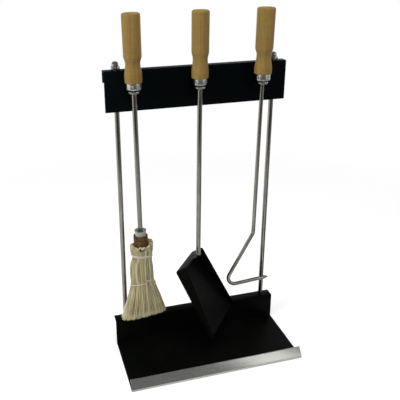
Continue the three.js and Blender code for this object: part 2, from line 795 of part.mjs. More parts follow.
/**
 * Pan in its own frame: it lies flat on z = 0 with its open front towards -Y,
 * and the outside of its rear wall stands on y = 0.
 */
function panSolid() {
  const inset = panSheet / 2;
  const wallCorners = [
    new THREE.Vector2(-panFrontWidth / 2 + inset, -panLength),
    new THREE.Vector2(-panRearWidth / 2 + inset, -inset),
    new THREE.Vector2(panRearWidth / 2 - inset, -inset),
    new THREE.Vector2(panFrontWidth / 2 - inset, -panLength),
  ];
  const wallLine = roundCorners(wallCorners, panCornerRadius + inset);
  const walls = extrudeUp(stripShape(wallLine, panSheet), panSheet - panSeamOverlap, panWallHeight);
  const floorCorners = [
    new THREE.Vector2(-panFrontWidth / 2, -panLength),
    new THREE.Vector2(-panRearWidth / 2, 0),
    new THREE.Vector2(panRearWidth / 2, 0),
    new THREE.Vector2(panFrontWidth / 2, -panLength),
  ];
  const floorLine = roundCorners(floorCorners, panCornerRadius + panSheet);
  const floor = extrudeUp(new THREE.Shape(floorLine), 0, panSheet);
  const lugRadius = lugWidth / 2;
  const lugShape = new THREE.Shape()
    .moveTo(-lugRadius, panWallHeight - panSheet)
    .lineTo(lugRadius, panWallHeight - panSheet)
    .lineTo(lugRadius, lugCentreHeight)
    .absarc(0, lugCentreHeight, lugRadius, 0, Math.PI, false);
  const lug = new THREE.ExtrudeGeometry(lugShape, { depth: panSheet, bevelEnabled: false, curveSegments: 8 })
    .rotateX(Math.PI / 2);
  // Side walls fall away to the front in a straight line from the rear wall's corners.
  const slopeFoot = -panCornerRadius - panSheet;
  const slope = new THREE.Shape([
    new THREE.Vector2(slopeFoot, panWallHeight),
    new THREE.Vector2(slopeFoot, 2 * panWallHeight),
    new THREE.Vector2(-panLength - panSheet, 2 * panWallHeight),
    new THREE.Vector2(-panLength - panSheet, panFrontWallHeight),
    new THREE.Vector2(-panLength, panFrontWallHeight),
  ]);
  return join(cut(join(walls, floor), extrudeAcross(slope, 2 * panFrontWidth)), lug);
}

function shovel() {
  const rodFoot = -shovelRodDrop;
  const panAngle = radians(90 - panTilt);
  const panFrame = new THREE.Group();
  panFrame.rotation.x = panAngle;
  panFrame.position.set(
    0,
    lugCentreHeight * Math.sin(panAngle),
    rodFoot - lugCentreHeight * Math.cos(panAngle),
  );
  panFrame.updateMatrix();
  panFrame.add(piece("shovel_pan", panSolid(), blackPaint));

  // The rod's end is mitred to stand on the lug.
  const reach = shovelRodDiameter * 3;
  const underLug = block(-reach, reach, -2 * reach, seatGap, lugCentreHeight - reach, lugCentreHeight + reach)
    .applyMatrix4(panFrame.matrix);
  const rodSolid = cut(rod(shovelRodDiameter, rodFoot - shovelRodDiameter, rodTop), underLug);

  const group = new THREE.Group();
  group.add(
    ...handleEnd("shovel", shovelRodDiameter),
    piece("shovel_rod", rodSolid, polishedRod),
    panFrame,
  );
  return group;
}

// ---------------------------------------------------------------- poker

function pokerRod() {
  const slant = radians(pokerSlant);
  const rise = radians(pokerArmRise);
  const start = new THREE.Vector3(0, 0, rodTop);
  const firstBend = new THREE.Vector3(0, 0, -pokerStraightDrop);
  const hookCorner = firstBend
    .clone()
    .add(new THREE.Vector3(-Math.sin(slant), 0, -Math.cos(slant)).multiplyScalar(pokerSlantLength));
  const armAlong = new THREE.Vector3(Math.cos(rise), 0, Math.sin(rise));
  const armEnd = hookCorner.clone().addScaledVector(armAlong, pokerArmLength - pokerPointLength);
  const bentTop = roundCorners([start, firstBend, hookCorner], pokerFirstBendRadius).slice(0, -1);
  const lastOfTop = bentTop[bentTop.length - 1];
  const bentHook = roundCorners([lastOfTop, hookCorner, armEnd], pokerHookRadius, hookBendSteps);
  const bar = roundBar([...bentTop.slice(0, -1), ...bentHook], pokerRodDiameter);

  const point = new THREE.CylinderGeometry(
    pokerPointDiameter / 2,
    pokerRodDiameter / 2 - pokerPointStep,
    pokerPointLength + pokerPointRoot,
    rodSides,
  )
    .rotateZ(-Math.PI / 2)
    .translate((pokerPointLength - pokerPointRoot) / 2, 0, 0)
    .rotateY(-rise)
    .translate(armEnd.x, armEnd.y, armEnd.z);
  return piece("poker_rod", join(bar, point), polishedRod);
}

function poker() {
  const group = new THREE.Group();
  group.add(...handleEnd("poker", pokerRodDiameter), pokerRod());
  return group;
}

// ---------------------------------------------------------------- assembly

/** Hangs a tool on its hook, turned about its rod and leaned to the side. */
function hang(tool, x, turn, lean) {
  tool.rotation.set(0, radians(-lean), radians(turn), "YZX");
  tool.position.set(x, toolY, collarSeat);
  return tool;
}

const toolSet = new THREE.Group();
toolSet.add(baseTray(), frontTrim(), topBar());
for (const [side, sign] of [["left", -1], ["right", 1]]) {
  const x = sign * uprightX;
  toolSet.add(upright(side, x), footWasher(side, x), footScrew(side, x), capNut(side, x), lockNut(side, x));
}
const hookPlaces = {
  left: toolRowOffset - toolSpacing,
  middle: toolRowOffset,
  right: toolRowOffset + toolSpacing,
};
for (const [side, x] of Object.entries(hookPlaces)) {
  toolSet.add(toolHook(side, x));
}
toolSet.add(hang(broom(), hookPlaces.left, broomTurn, broomLean));
toolSet.add(hang(shovel(), hookPlaces.middle, shovelTurn, 0));
toolSet.add(hang(poker(), hookPlaces.right, 0, pokerLean));

export default toolSet;
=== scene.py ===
"""Looks of a fireplace tool set: a folded stand with a broom, an ash shovel and a poker on hooks.

Sizes are in millimetres, and meshes are made in metres. A tool is modelled in its own frame, with
its rod on Z and the underside of its hanging collar at 0, and is then hung where the frame has it.
"""

import logging
import math
import random
from dataclasses import dataclass, field
from enum import Enum
from functools import cached_property
from typing import Any, Callable, Iterable, Sequence

import bmesh
import bpy
from mathutils import Matrix, Vector


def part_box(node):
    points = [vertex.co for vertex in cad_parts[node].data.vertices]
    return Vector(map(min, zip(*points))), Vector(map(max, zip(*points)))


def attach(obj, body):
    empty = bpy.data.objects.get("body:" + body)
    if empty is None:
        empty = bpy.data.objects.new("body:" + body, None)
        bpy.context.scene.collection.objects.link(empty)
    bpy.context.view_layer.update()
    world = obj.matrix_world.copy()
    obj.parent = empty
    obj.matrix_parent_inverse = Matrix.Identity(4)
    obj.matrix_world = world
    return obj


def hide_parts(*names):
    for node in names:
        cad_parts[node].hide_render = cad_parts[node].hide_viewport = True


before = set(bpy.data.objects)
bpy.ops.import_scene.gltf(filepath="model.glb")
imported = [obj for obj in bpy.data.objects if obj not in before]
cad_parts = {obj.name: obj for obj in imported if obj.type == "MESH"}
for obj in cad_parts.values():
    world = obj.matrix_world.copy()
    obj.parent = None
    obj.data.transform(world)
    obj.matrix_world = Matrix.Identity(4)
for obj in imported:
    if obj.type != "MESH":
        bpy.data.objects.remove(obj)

LOG = logging.getLogger("tool_set")
MM = 0.001
NEAR = 0.02  # millimetres within which a corner or an edge counts as in its place

Point = tuple[float, float]
Triple = tuple[float, float, float]
Piece = bpy.types.Object
Material = bpy.types.Material


# ---------------------------------------------------------------- bench


class Kind(Enum):
    """What a selection in edit mode takes."""

    VERT = "VERT"
    EDGE = "EDGE"
    FACE = "FACE"


def clamp(value: float, low: float = 0.0, high: float = 1.0) -> float:
    """A value, kept between two others."""
    return min(max(value, low), high)


def arc(centre: Point, radius: float, start: float, end: float, steps: int) -> list[Point]:
    """Points of an arc in a plane.

    Args:
        centre: Its centre, in millimetres.
        radius: Its radius, in millimetres.
        start: Angle of its first point, in degrees.
        end: Angle of its last point, in degrees.
        steps: How many straight lines it has.

    Returns:
        The points in order, both ends among them.
    """
    angles = [math.radians(start + (end - start) * k / steps) for k in range(steps + 1)]
    return [(centre[0] + radius * math.cos(a), centre[1] + radius * math.sin(a)) for a in angles]


def curve(points: Sequence[Point], steps: int) -> list[Point]:
    """Points of a Bezier curve in a plane, without its first.

    Args:
        points: Three or four control points, in millimetres.
        steps: How many straight lines it has.

    Returns:
        The points after the first, in order.
    """
    made = []
    for k in range(1, steps + 1):
        row = [Vector(p) for p in points]
        while len(row) > 1:
            row = [a.lerp(b, k / steps) for a, b in zip(row, row[1:])]
        made.append((row[0].x, row[0].y))
    return made


class Bench:
    """The workbench: makes meshes with operators, as by hand."""

    @staticmethod
    def take(*pieces: Piece) -> None:
        """Makes these objects the only selected ones, and the first the active one.

        Args:
            pieces: The pieces.
        """
        bpy.ops.object.select_all(action="DESELECT")
        for piece in pieces:
            piece.select_set(True)
        bpy.context.view_layer.objects.active = pieces[0]

    @staticmethod
    def fresh(name: str) -> Piece:
        """Names the primitive that was just added, and its mesh, and returns it.

        Args:
            name: The new name.

        Returns:
            The primitive.
        """
        piece = bpy.context.object
        piece.name = name
        piece.data.name = name
        Bench.take(piece)
        return piece

    @staticmethod
    def add(name: str, operator: Callable[..., set[str]], at: Triple, **settings: Any) -> Piece:
        """Adds a primitive on its own and puts its place in its mesh.

        Args:
            name: The new piece's name.
            operator: The operator that adds the primitive.
            at: The primitive's middle, in millimetres.
            settings: The operator's other settings.

        Returns:
            The new piece, in object mode.
        """
        bpy.ops.object.select_all(action="DESELECT")
        operator(location=[c * MM for c in at], **settings)
        piece = Bench.fresh(name)
        bpy.ops.object.transform_apply(location=True, rotation=True, scale=True)
        return piece

    @staticmethod
    def edit(piece: Piece) -> None:
        """Opens a piece in edit mode with nothing selected.

        Args:
            piece: The piece.
        """
        Bench.take(piece)
        bpy.ops.object.mode_set(mode="EDIT")
        bpy.ops.mesh.select_all(action="DESELECT")

    @staticmethod
    def done() -> None:
        """Goes back to object mode."""
        bpy.ops.object.mode_set(mode="OBJECT")

    @staticmethod
    def pick(piece: Piece, kind: Kind, test: Callable[..., bool]) -> int:
        """Selects by place or normal in edit mode, and nothing else.

        Args:
            piece: The piece that is open in edit mode.
            kind: What is selected.
            test: Says whether a vertex, edge or face is taken.

        Returns:
            How many were taken.
        """
        bpy.ops.mesh.select_all(action="DESELECT")
        bpy.ops.mesh.select_mode(type=kind.value)
        mesh = bmesh.from_edit_mesh(piece.data)
        rows = {Kind.VERT: mesh.verts, Kind.EDGE: mesh.edges, Kind.FACE: mesh.faces}[kind]
        taken = [row for row in rows if test(row)]
        for row in taken:
            row.select_set(True)
        mesh.select_flush_mode()
        bmesh.update_edit_mesh(piece.data)
        return len(taken)

    @staticmethod
    def chain(name: str, points: Sequence[Triple]) -> Piece:
        """Draws a line by extruding one vertex from point to point, and leaves edit mode open.

        Args:
            name: The new piece's name.
            points: The points, in millimetres.

        Returns:
            The new piece, in edit mode, with all of it selected.
        """
        piece = Bench.add(name, bpy.ops.mesh.primitive_plane_add, points[0], size=MM)
        bpy.ops.object.mode_set(mode="EDIT")
        bpy.ops.mesh.select_mode(type="VERT")
        bpy.ops.mesh.select_all(action="SELECT")
        bpy.ops.mesh.merge(type="CENTER")
        for here, there in zip(points, points[1:]):
            step = tuple((b - a) * MM for a, b in zip(here, there))
            bpy.ops.mesh.extrude_vertices_move(TRANSFORM_OT_translate={"value": step})
        bpy.ops.mesh.select_all(action="SELECT")
        return piece

    @staticmethod
    def tidy_mesh() -> None:
        """Merges doubles and turns all faces outwards, in edit mode."""
        bpy.ops.mesh.select_all(action="SELECT")
        bpy.ops.mesh.remove_doubles(threshold=1e-6)
        bpy.ops.mesh.normals_make_consistent(inside=False)

    @staticmethod
    def round_off(size: float, segments: int) -> None:
        """Bevels the selected edges in edit mode, by a size in millimetres."""
        bpy.ops.mesh.bevel(offset=size * MM, offset_type="OFFSET", segments=segments, affect="EDGES")

    @staticmethod
    def ball(name: str, at: Triple, radii: Triple, sides: int, rings: int) -> Piece:
        """A ball in object mode; sizes in millimetres."""
        add, rounding = bpy.ops.mesh.primitive_uv_sphere_add, {"segments": sides, "ring_count": rings}
        return Bench.add(name, add, at, radius=MM, scale=radii, **rounding)

    @staticmethod
    def disc(name: str, radius: float, sides: int, height: float) -> Piece:
        """A round face across Z to extrude from.

        Args:
            name: The new piece's name.
            radius: Its radius, in millimetres.
            sides: How many sides it has.
            height: Its height on Z, in millimetres.

        Returns:
            The new piece, in edit mode, with all of it selected.
        """
        add = bpy.ops.mesh.primitive_circle_add
        piece = Bench.add(name, add, (0, 0, height), vertices=sides, radius=radius * MM, fill_type="NGON")
        bpy.ops.object.mode_set(mode="EDIT")
        bpy.ops.mesh.select_mode(type="FACE")
        bpy.ops.mesh.select_all(action="SELECT")
        return piece

    @staticmethod
    def push(step: Vector) -> None:
        """Extrudes the selected face in edit mode, by a step in millimetres."""
        bpy.ops.mesh.extrude_region_move(TRANSFORM_OT_translate={"value": tuple(step * MM)})

    @staticmethod
    def turned(name: str, outline: Sequence[Point], steps: int = 64) -> Piece:
        """A turned piece about Z.

        Args:
            name: The new piece's name.
            outline: Radius and height of each corner, in millimetres.
            steps: How many sides the round has.

        Returns:
            The new piece, in object mode.
        """
        piece = Bench.chain(name, [(radius, 0, height) for radius, height in outline])
        bpy.ops.mesh.spin(steps=steps, angle=2 * math.pi, center=(0, 0, 0), axis=(0, 0, 1))
        Bench.tidy_mesh()
        Bench.done()
        return piece

    @staticmethod
    def cylinder(name: str, radius: float, low: float, high: float, sides: int) -> Piece:
        """An upright cylinder on Z.

        Args:
            name: The new piece's name.
            radius: Its radius, in millimetres.
            low: Height of its lower end, in millimetres.
            high: Height of its upper end, in millimetres.
            sides: How many sides it has.

        Returns:
            The new piece, in object mode.
        """
        add, depth = bpy.ops.mesh.primitive_cylinder_add, (high - low) * MM
        middle_height = (high + low) / 2
        return Bench.add(name, add, (0, 0, middle_height), vertices=sides, radius=radius * MM, depth=depth)

    @staticmethod
    def bar(name: str, diameter: float, low: float, high: float, chamfer: float = 0.5) -> Piece:
        """A round bar on Z with eased ends.

        Args:
            name: The new piece's name.
            diameter: Its diameter, in millimetres.
            low: Height of its lower end, in millimetres.
            high: Height of its upper end, in millimetres.
            chamfer: Size of the eased edge, in millimetres.

        Returns:
            The new piece, in object mode.
        """
        piece = Bench.cylinder(name, diameter / 2, low, high, 48)
        Bench.edit(piece)
        Bench.pick(piece, Kind.EDGE, lambda e: abs(e.verts[0].co.z - e.verts[1].co.z) < NEAR * MM)
        Bench.round_off(chamfer, 3)
        Bench.done()
        return piece

    @staticmethod
    def modifier(piece: Piece, kind: str, **settings: Any) -> None:
        """Adds a modifier with these settings and applies it.

        Args:
            piece: The piece.
            kind: The modifier's type.
            settings: Its properties.
        """
        Bench.take(piece)
        made = piece.modifiers.new(kind.lower(), kind)
        for key, value in settings.items():
            setattr(made, key, value)
        bpy.ops.object.modifier_apply(modifier=made.name)

    @staticmethod
    def thicken(piece: Piece, sheet: float, even: bool = True) -> None:
        """Gives a surface a thickness in millimetres, half to each side."""
        settings = {"use_even_offset": even, "use_quality_normals": even}
        Bench.modifier(piece, "SOLIDIFY", thickness=sheet * MM, offset=0, **settings)

    @staticmethod
    def cut(piece: Piece, operation: str, other: Piece) -> None:
        """Cuts a piece with another one, which is used up."""
        Bench.modifier(piece, "BOOLEAN", operation=operation, object=other, solver="EXACT")
        bpy.data.objects.remove(other)

    @staticmethod
    def ease(piece: Piece, width: float, segments: int = 2, angle: float = 50) -> None:
        """Bevels every edge sharper than an angle; width in millimetres, angle in degrees."""
        Bench.modifier(
            piece,
            "BEVEL",
            width=width * MM,
            segments=segments,
            limit_method="ANGLE",
            angle_limit=math.radians(angle),
            use_clamp_overlap=True,
        )

    @staticmethod
    def smooth(piece: Piece, angle: float = 38) -> None:
        """Shades a piece smooth where its faces meet at less than an angle in degrees."""
        Bench.take(piece)
        bpy.ops.object.shade_smooth_by_angle(angle=math.radians(angle))

    @staticmethod
    def settle(piece: Piece, place: Matrix) -> None:
        """Moves a piece's mesh to its place; its object stays at the origin, unturned.

        Args:
            piece: The piece.
            place: Where its mesh goes, in metres.
        """
        Bench.take(piece)
        piece.matrix_world = place
        bpy.ops.object.transform_apply(location=True, rotation=True, scale=True)

    @staticmethod
    def joined(name: str, first: Piece, *others: Piece) -> Piece:
        """Joins pieces into the first one and names it.

        Args:
            name: The new name.
            first: The piece that takes the others in.
            others: The other pieces.

        Returns:
            The first piece.
        """
        Bench.take(first, *others)
        bpy.ops.object.join()
        first.name = name
        first.data.name = name
        return first

    @staticmethod
    def folded(
        name: str,
        corners: Sequence[Point],
        radii: dict[int, float],
        width: float,
        sheet: float,
        rim: float,
        steps: int = 6,
    ) -> Piece:
        """A sheet folded along X, as wide as the stand.

        Args:
            name: The new piece's name.
            corners: Depth and height of the corners of the sheet's middle, in millimetres.
            radii: Radius of the middle of each fold, by the number of its corner.
            width: Length along X, in millimetres.
            sheet: Thickness, in millimetres.
            rim: Size of the eased cut edges, in millimetres.
            steps: How many faces each fold has.

        Returns:
            The new piece, in object mode.
        """
        piece = Bench.chain(name, [(-width / 2, y, z) for y, z in corners])
        bpy.ops.mesh.extrude_edges_move(TRANSFORM_OT_translate={"value": (width * MM, 0, 0)})
        for number, radius in radii.items():
            before, here, after = (Vector(corners[number + k]) for k in (-1, 0, 1))
            bend = (here - before).angle(after - here)

            def on_fold(edge: bmesh.types.BMEdge, at: Vector = here) -> bool:
                """Says whether an edge lies on this fold."""
                return all((Vector(v.co.yz) / MM - at).length < NEAR for v in edge.verts)

            taken = Bench.pick(piece, Kind.EDGE, on_fold)
            assert taken == 1, (name, number, taken)
            Bench.round_off(radius * math.tan(bend / 2), steps)
        Bench.tidy_mesh()
        Bench.done()
        Bench.thicken(piece, sheet)
        Bench.ease(piece, rim)
        Bench.smooth(piece)
        return piece

    @staticmethod
    def cords(name: str, lines: Iterable[Sequence[tuple[Vector, float]]], rounding: int) -> Piece:
        """Makes round cords from their middle lines.

        Args:
            name: The new piece's name.
            lines: For each cord its points and its radius at each of them, in millimetres.
            rounding: How round the cords are: a curve's bevel resolution.

        Returns:
            One mesh of all the cords.
        """
        drawing = bpy.data.curves.new(name, "CURVE")
        drawing.dimensions = "3D"
        drawing.bevel_depth = MM
        drawing.bevel_resolution = rounding
        drawing.use_fill_caps = True
        for line in lines:
            spline = drawing.splines.new("POLY")
            spline.points.add(len(line) - 1)
            for target, (point, radius) in zip(spline.points, line):
                target.co = (*(point * MM), 1)
                target.radius = radius
        piece = bpy.data.objects.new(name, drawing)
        bpy.context.scene.collection.objects.link(piece)
        Bench.take(piece)
        bpy.ops.object.convert(target="MESH")
        piece = bpy.context.object
        piece.data.name = name
        return piece


# ---------------------------------------------------------------- shader desk


class Signal:
    """A socket's output in a material, with arithmetic that adds Math nodes."""

    def __init__(self, desk: "Desk", socket: bpy.types.NodeSocket) -> None:
        """Keeps the desk and the socket."""
        self.desk = desk
        self.socket = socket

    def _math(self, operation: str, *values: "Signal | float") -> "Signal":
        """Adds one Math node on these values."""
        return self.desk.node("ShaderNodeMath", {"operation": operation}, dict(enumerate(values)))

    def __add__(self, other: "Signal | float") -> "Signal":
        """This plus another."""
        return self._math("ADD", self, other)

    __radd__ = __add__

    def __sub__(self, other: "Signal | float") -> "Signal":
        """This less another."""
        return self._math("SUBTRACT", self, other)

    def __rsub__(self, other: "Signal | float") -> "Signal":
        """Another less this."""
        return self._math("SUBTRACT", other, self)

    def __mul__(self, other: "Signal | float") -> "Signal":
        """This times another."""
        return self._math("MULTIPLY", self, other)

    __rmul__ = __mul__


class Desk:
    """One node tree under the brush: adds its nodes and links them."""

    def __init__(self, tree: bpy.types.NodeTree) -> None:
        """Empties a tree.

        Args:
            tree: The tree of a material or a world.
        """
        self.tree = tree
        self.tree.nodes.clear()

    def plug(self, socket: bpy.types.NodeSocket, value: Signal | float | Triple) -> None:
        """Links a signal to a socket, or sets the socket to a plain value.

        Args:
            socket: The input.
            value: A signal, a number, a vector or a colour.
        """
        if isinstance(value, Signal):
            self.tree.links.new(value.socket, socket)
        elif socket.type == "RGBA" and len(value) == 3:
            socket.default_value = (*value, 1.0)
        else:
            socket.default_value = value

    def node(
        self, kind: str, settings: dict[str, Any], inputs: dict[str | int, Any], output: int | str | None = 0
    ) -> Signal | None:
        """Adds any node.

        Args:
            kind: The node's type.
            settings: Its properties, set first; "stops" holds a ramp's places and colours.
            inputs: Values or signals, by the name or number of their sockets.
            output: Name or number of the output that is wanted, or None.

        Returns:
            That output, or None.
        """
        made = self.tree.nodes.new(kind)
        for key, value in settings.items():
            if key == "stops":
                ramp = made.color_ramp
                while len(ramp.elements) < len(value):
                    ramp.elements.new(0.5)
                for element, (place, color) in zip(ramp.elements, value):
                    element.position = place
                    element.color = (*color, 1.0)
            else:
                setattr(made, key, value)
        for key, value in inputs.items():
            self.plug(made.inputs[key], value)
        return Signal(self, made.outputs[output]) if output is not None else None

    def place(self, stretch: Triple = (1, 1, 1), shift: Triple = (0, 0, 0)) -> Signal:
        """Object coordinates, shifted and stretched."""
        at = self.node("ShaderNodeTexCoord", {}, {}, "Object")
        return self.node("ShaderNodeMapping", {}, {"Vector": at, "Location": shift, "Scale": stretch})

    def grain(self, *stretch: float, detail: float = 3, rough: float = 0.5, wander: float = 0) -> Signal:
        """Noise from 0 to 1 on stretched Object coordinates."""
        return self.noise(self.place(stretch), 1, detail, rough, wander)

    def noise(
        self, at: Signal, scale: float, detail: float = 3, rough: float = 0.5, wander: float = 0
    ) -> Signal:
        """Noise from 0 to 1 at a place."""
        inputs = {"Vector": at, "Scale": scale, "Detail": detail, "Roughness": rough, "Distortion": wander}
        return self.node("ShaderNodeTexNoise", {}, inputs)

    def between(self, value: Signal, low: float, high: float, first: float = 0, last: float = 1) -> Signal:
        """Stretches a range of a signal over another range, clamped."""
        inputs = {"Value": value, "From Min": low, "From Max": high, "To Min": first, "To Max": last}
        return self.node("ShaderNodeMapRange", {"clamp": True}, inputs)

    def mix(
        self, factor: Signal | float, one: Signal | Triple, other: Signal | Triple, blend: str = "MIX"
    ) -> Signal:
        """Mixes two colours."""
        settings = {"data_type": "RGBA", "blend_type": blend}
        return self.node("ShaderNodeMix", settings, {0: factor, 6: one, 7: other}, 2)

    def bump(self, height: Signal, depth: float) -> Signal:
        """A normal from a height signal; depth in millimetres."""
        inputs = {"Height": height, "Strength": 1.0, "Distance": depth * MM}
        return self.node("ShaderNodeBump", {}, inputs, "Normal")

    def tag(self, name: str) -> Signal:
        """A number that the mesh carries under this name."""
        return self.node("ShaderNodeAttribute", {"attribute_name": name}, {}, "Fac")

    def reach(self, at: Signal) -> Signal:
        """Distance of a place from the origin, in metres."""
        return self.node("ShaderNodeVectorMath", {"operation": "LENGTH"}, {0: at}, "Value")

    def rays(self) -> list[Signal]:
        """Whether a ray comes straight from the camera, from a reflection, or through glass."""
        names = ("Is Camera Ray", "Is Glossy Ray", "Is Transmission Ray")
        return [self.node("ShaderNodeLightPath", {}, {}, name) for name in names]


class Paint(Desk):
    """A material under the brush, with one shader."""

    def __init__(self, name: str) -> None:
        """Makes an empty material with a shader.

        Args:
            name: The material's name.
        """
        self.material = bpy.data.materials.new(name)
        self.material.use_nodes = True
        super().__init__(self.material.node_tree)
        self.shader = self.tree.nodes.new("ShaderNodeBsdfPrincipled")
        self.output = self.tree.nodes.new("ShaderNodeOutputMaterial")
        self.tree.links.new(self.shader.outputs[0], self.output.inputs["Surface"])

    def coat(self, **values: Signal | float | Triple) -> Material:
        """Sets the shader's sockets.

        Args:
            values: Values or signals, by the sockets' names with underscores for blanks.

        Returns:
            The material.
        """
        for key, value in values.items():
            self.plug(self.shader.inputs[key.replace("_", " ")], value)
        return self.material


def times(color: Triple, factor: float) -> Triple:
    """A colour, darker or brighter by a factor."""
    return tuple(c * factor for c in color)


class Slot(Enum):
    """The record's material slots."""

    BLACK_PAINT = "black_paint"
    STAINLESS_TRIM = "stainless_trim"
    POLISHED_STEEL = "polished_steel"
    CHROME = "chrome"
    ZINC_STEEL = "zinc_steel"
    BEECH = "beech"
    DARK_WOOD = "dark_wood"
    PLANT_FIBRE = "plant_fibre"
    BINDING_CORD = "binding_cord"


@dataclass(frozen=True)
class BlackPowderCoat:
    """Satin black powder coat: fine orange peel, faint dust and rubbed places."""

    name: str = "black_powder_coat"
    color: Triple = (0.0014, 0.0018, 0.0013)
    rubbed: Triple = (0.0027, 0.0033, 0.0025)
    roughness: float = 0.38
    gloss: float = 0.025
    peel: float = 0.02

    def material(self) -> Material:
        """Builds the material.

        Returns:
            The new material.
        """
        desk = Paint(self.name)
        at = desk.place()
        cloud = desk.noise(at, 14, 4, 0.6)
        grain = desk.noise(at, 1900, 2)
        fleck = desk.between(desk.noise(at, 620, 1), 0.74, 0.8)
        color = desk.mix(desk.between(cloud, 0.42, 0.7), self.color, self.rubbed)
        color = desk.mix(fleck * 0.4, color, (0.014, 0.014, 0.013))
        rough = desk.between(cloud, 0.3, 0.7, self.roughness - 0.05, self.roughness + 0.1)
        return desk.coat(
            Base_Color=color,
            Roughness=rough + (grain - 0.5) * 0.08,
            Specular_IOR_Level=self.gloss,
            Normal=desk.bump(grain, self.peel),
        )


@dataclass(frozen=True)
class BrushedStrip:
    """Stainless strip brushed along X."""

    name: str = "brushed_stainless_strip"
    color: Triple = (0.535, 0.545, 0.51)
    roughness: float = 0.25
    groove: float = 0.002

    def material(self) -> Material:
        """Builds the material.

        Returns:
            The new material.
        """
        desk = Paint(self.name)
        lines = desk.grain(6, 1500, 1500, rough=0.6)
        wide = desk.grain(9, 240, 240, detail=2)
        smear = desk.grain(22, 60, 60, rough=0.6)
        shade = desk.between(lines * 0.6 + wide * 0.4, 0.35, 0.65)
        rough = desk.between(smear, 0.3, 0.7, self.roughness - 0.03, self.roughness + 0.05)
        return desk.coat(
            Base_Color=desk.mix(shade, times(self.color, 0.92), self.color),
            Metallic=1.0,
            Roughness=rough + (lines - 0.5) * 0.08,
            Normal=desk.bump(lines, self.groove),
        )


@dataclass(frozen=True)
class DrawnBar:
    """Bright drawn steel bar: fine die lines along it and a little grey tarnish."""

    name: str = "drawn_bright_bar"
    color: Triple = (0.36, 0.345, 0.31)
    roughness: float = 0.2

    def material(self) -> Material:
        """Builds the material.

        Returns:
            The new material.
        """
        desk = Paint(self.name)
        lines = desk.grain(1300, 1300, 7, rough=0.6)
        tarnish = desk.grain(70, 70, 26, detail=4, rough=0.6)
        pits = desk.between(desk.noise(desk.place(), 520, 2), 0.68, 0.78)
        dull = times(self.color, 0.72)
        color = desk.mix(desk.between(tarnish, 0.36, 0.64), dull, self.color)
        color = desk.mix(pits * 0.5, color, times(self.color, 0.45))
        rough = desk.between(tarnish, 0.3, 0.7, self.roughness + 0.08, self.roughness - 0.05)
        return desk.coat(
            Base_Color=desk.mix(desk.between(lines, 0.4, 0.6, 0, 0.25), color, dull),
            Metallic=1.0,
            Roughness=rough + (lines - 0.5) * 0.16,
            Normal=desk.bump(lines, 0.006),
        )


@dataclass(frozen=True)
class Plating:
    """Bright or grey plating on a turned piece, with rings from the lathe and small scuffs."""

    name: str
    color: Triple
    roughness: float
    ring: float = 0.004
    cloudiness: float = 0.3
    metal: float = 1.0

    def material(self) -> Material:
        """Builds the material.

        Returns:
            The new material.
        """
        desk = Paint(self.name)
        rings = desk.grain(40, 40, 2600, detail=2)
        cloud = desk.noise(desk.place(), 150, 4, 0.6)
        scuff = desk.between(desk.grain(500, 500, 90, rough=0.7, wander=1.5), 0.62, 0.72)
        color = desk.mix(desk.between(cloud, 0.35, 0.65), times(self.color, 1 - self.cloudiness), self.color)
        rough = desk.between(cloud, 0.3, 0.7, self.roughness + 0.08, self.roughness - 0.03)
        return desk.coat(
            Base_Color=color,
            Metallic=self.metal,
            Roughness=rough + scuff * 0.12,
            Normal=desk.bump(rings, self.ring),
        )


@dataclass(frozen=True)
class TurnedWood:
    """Turned wood with its grain along Z: growth bands, pores, ray flecks and end grain."""

    name: str
    light: Triple
    dark: Triple
    pore: Triple
    roughness: float
    lacquer: float
    contrast: float = 1.0
    mottle: float = 0.0
    gloss: float = 0.25

    def material(self) -> Material:
        """Builds the material.

        Returns:
            The new material.
        """
        desk = Paint(self.name)
        warp = desk.noise(desk.place((28, 28, 7), (0.3, 0.1, 0)), 1, 2)
        bands = desk.grain(330, 120, 7, rough=0.55, wander=0.6)
        fine = desk.grain(1500, 1100, 34, rough=0.65)
        pores = desk.between(desk.grain(2300, 2300, 120, detail=1), 0.66, 0.74)
        flecks = desk.between(desk.noise(desk.place((900, 1500, 260), (0, 0.2, 0.1)), 1, 1), 0.64, 0.7)
        span = 0.16 / self.contrast
        tone = desk.between(bands * 0.62 + fine * 0.2 + warp * 0.18, 0.5 - span, 0.5 + span)
        color = desk.mix(tone, self.dark, self.light)
        color = desk.mix(flecks * 0.3, color, self.dark)
        color = desk.mix(pores * 0.5, color, self.pore)
        spots = desk.noise(desk.place((1, 1, 0.7)), 340, 4, 0.7)
        color = desk.mix(desk.between(spots, 0.5, 0.62, 0, self.mottle), color, self.pore)
        rings = desk.grain(25, 25, 900, detail=2)
        color = desk.mix(desk.between(rings, 0.5, 0.64, 0, 0.4), color, self.dark)
        height = fine * 0.6 - pores * 0.8 + bands * 0.3 + rings * 0.5 + spots * self.mottle * 2
        rough = desk.between(warp, 0.3, 0.7, self.roughness - 0.05, self.roughness + 0.07)
        return desk.coat(
            Base_Color=color,
            Roughness=rough + pores * 0.1,
            Coat_Weight=self.lacquer,
            Coat_Roughness=0.3,
            Specular_IOR_Level=self.gloss,
            Normal=desk.bump(height, 0.03),
        )


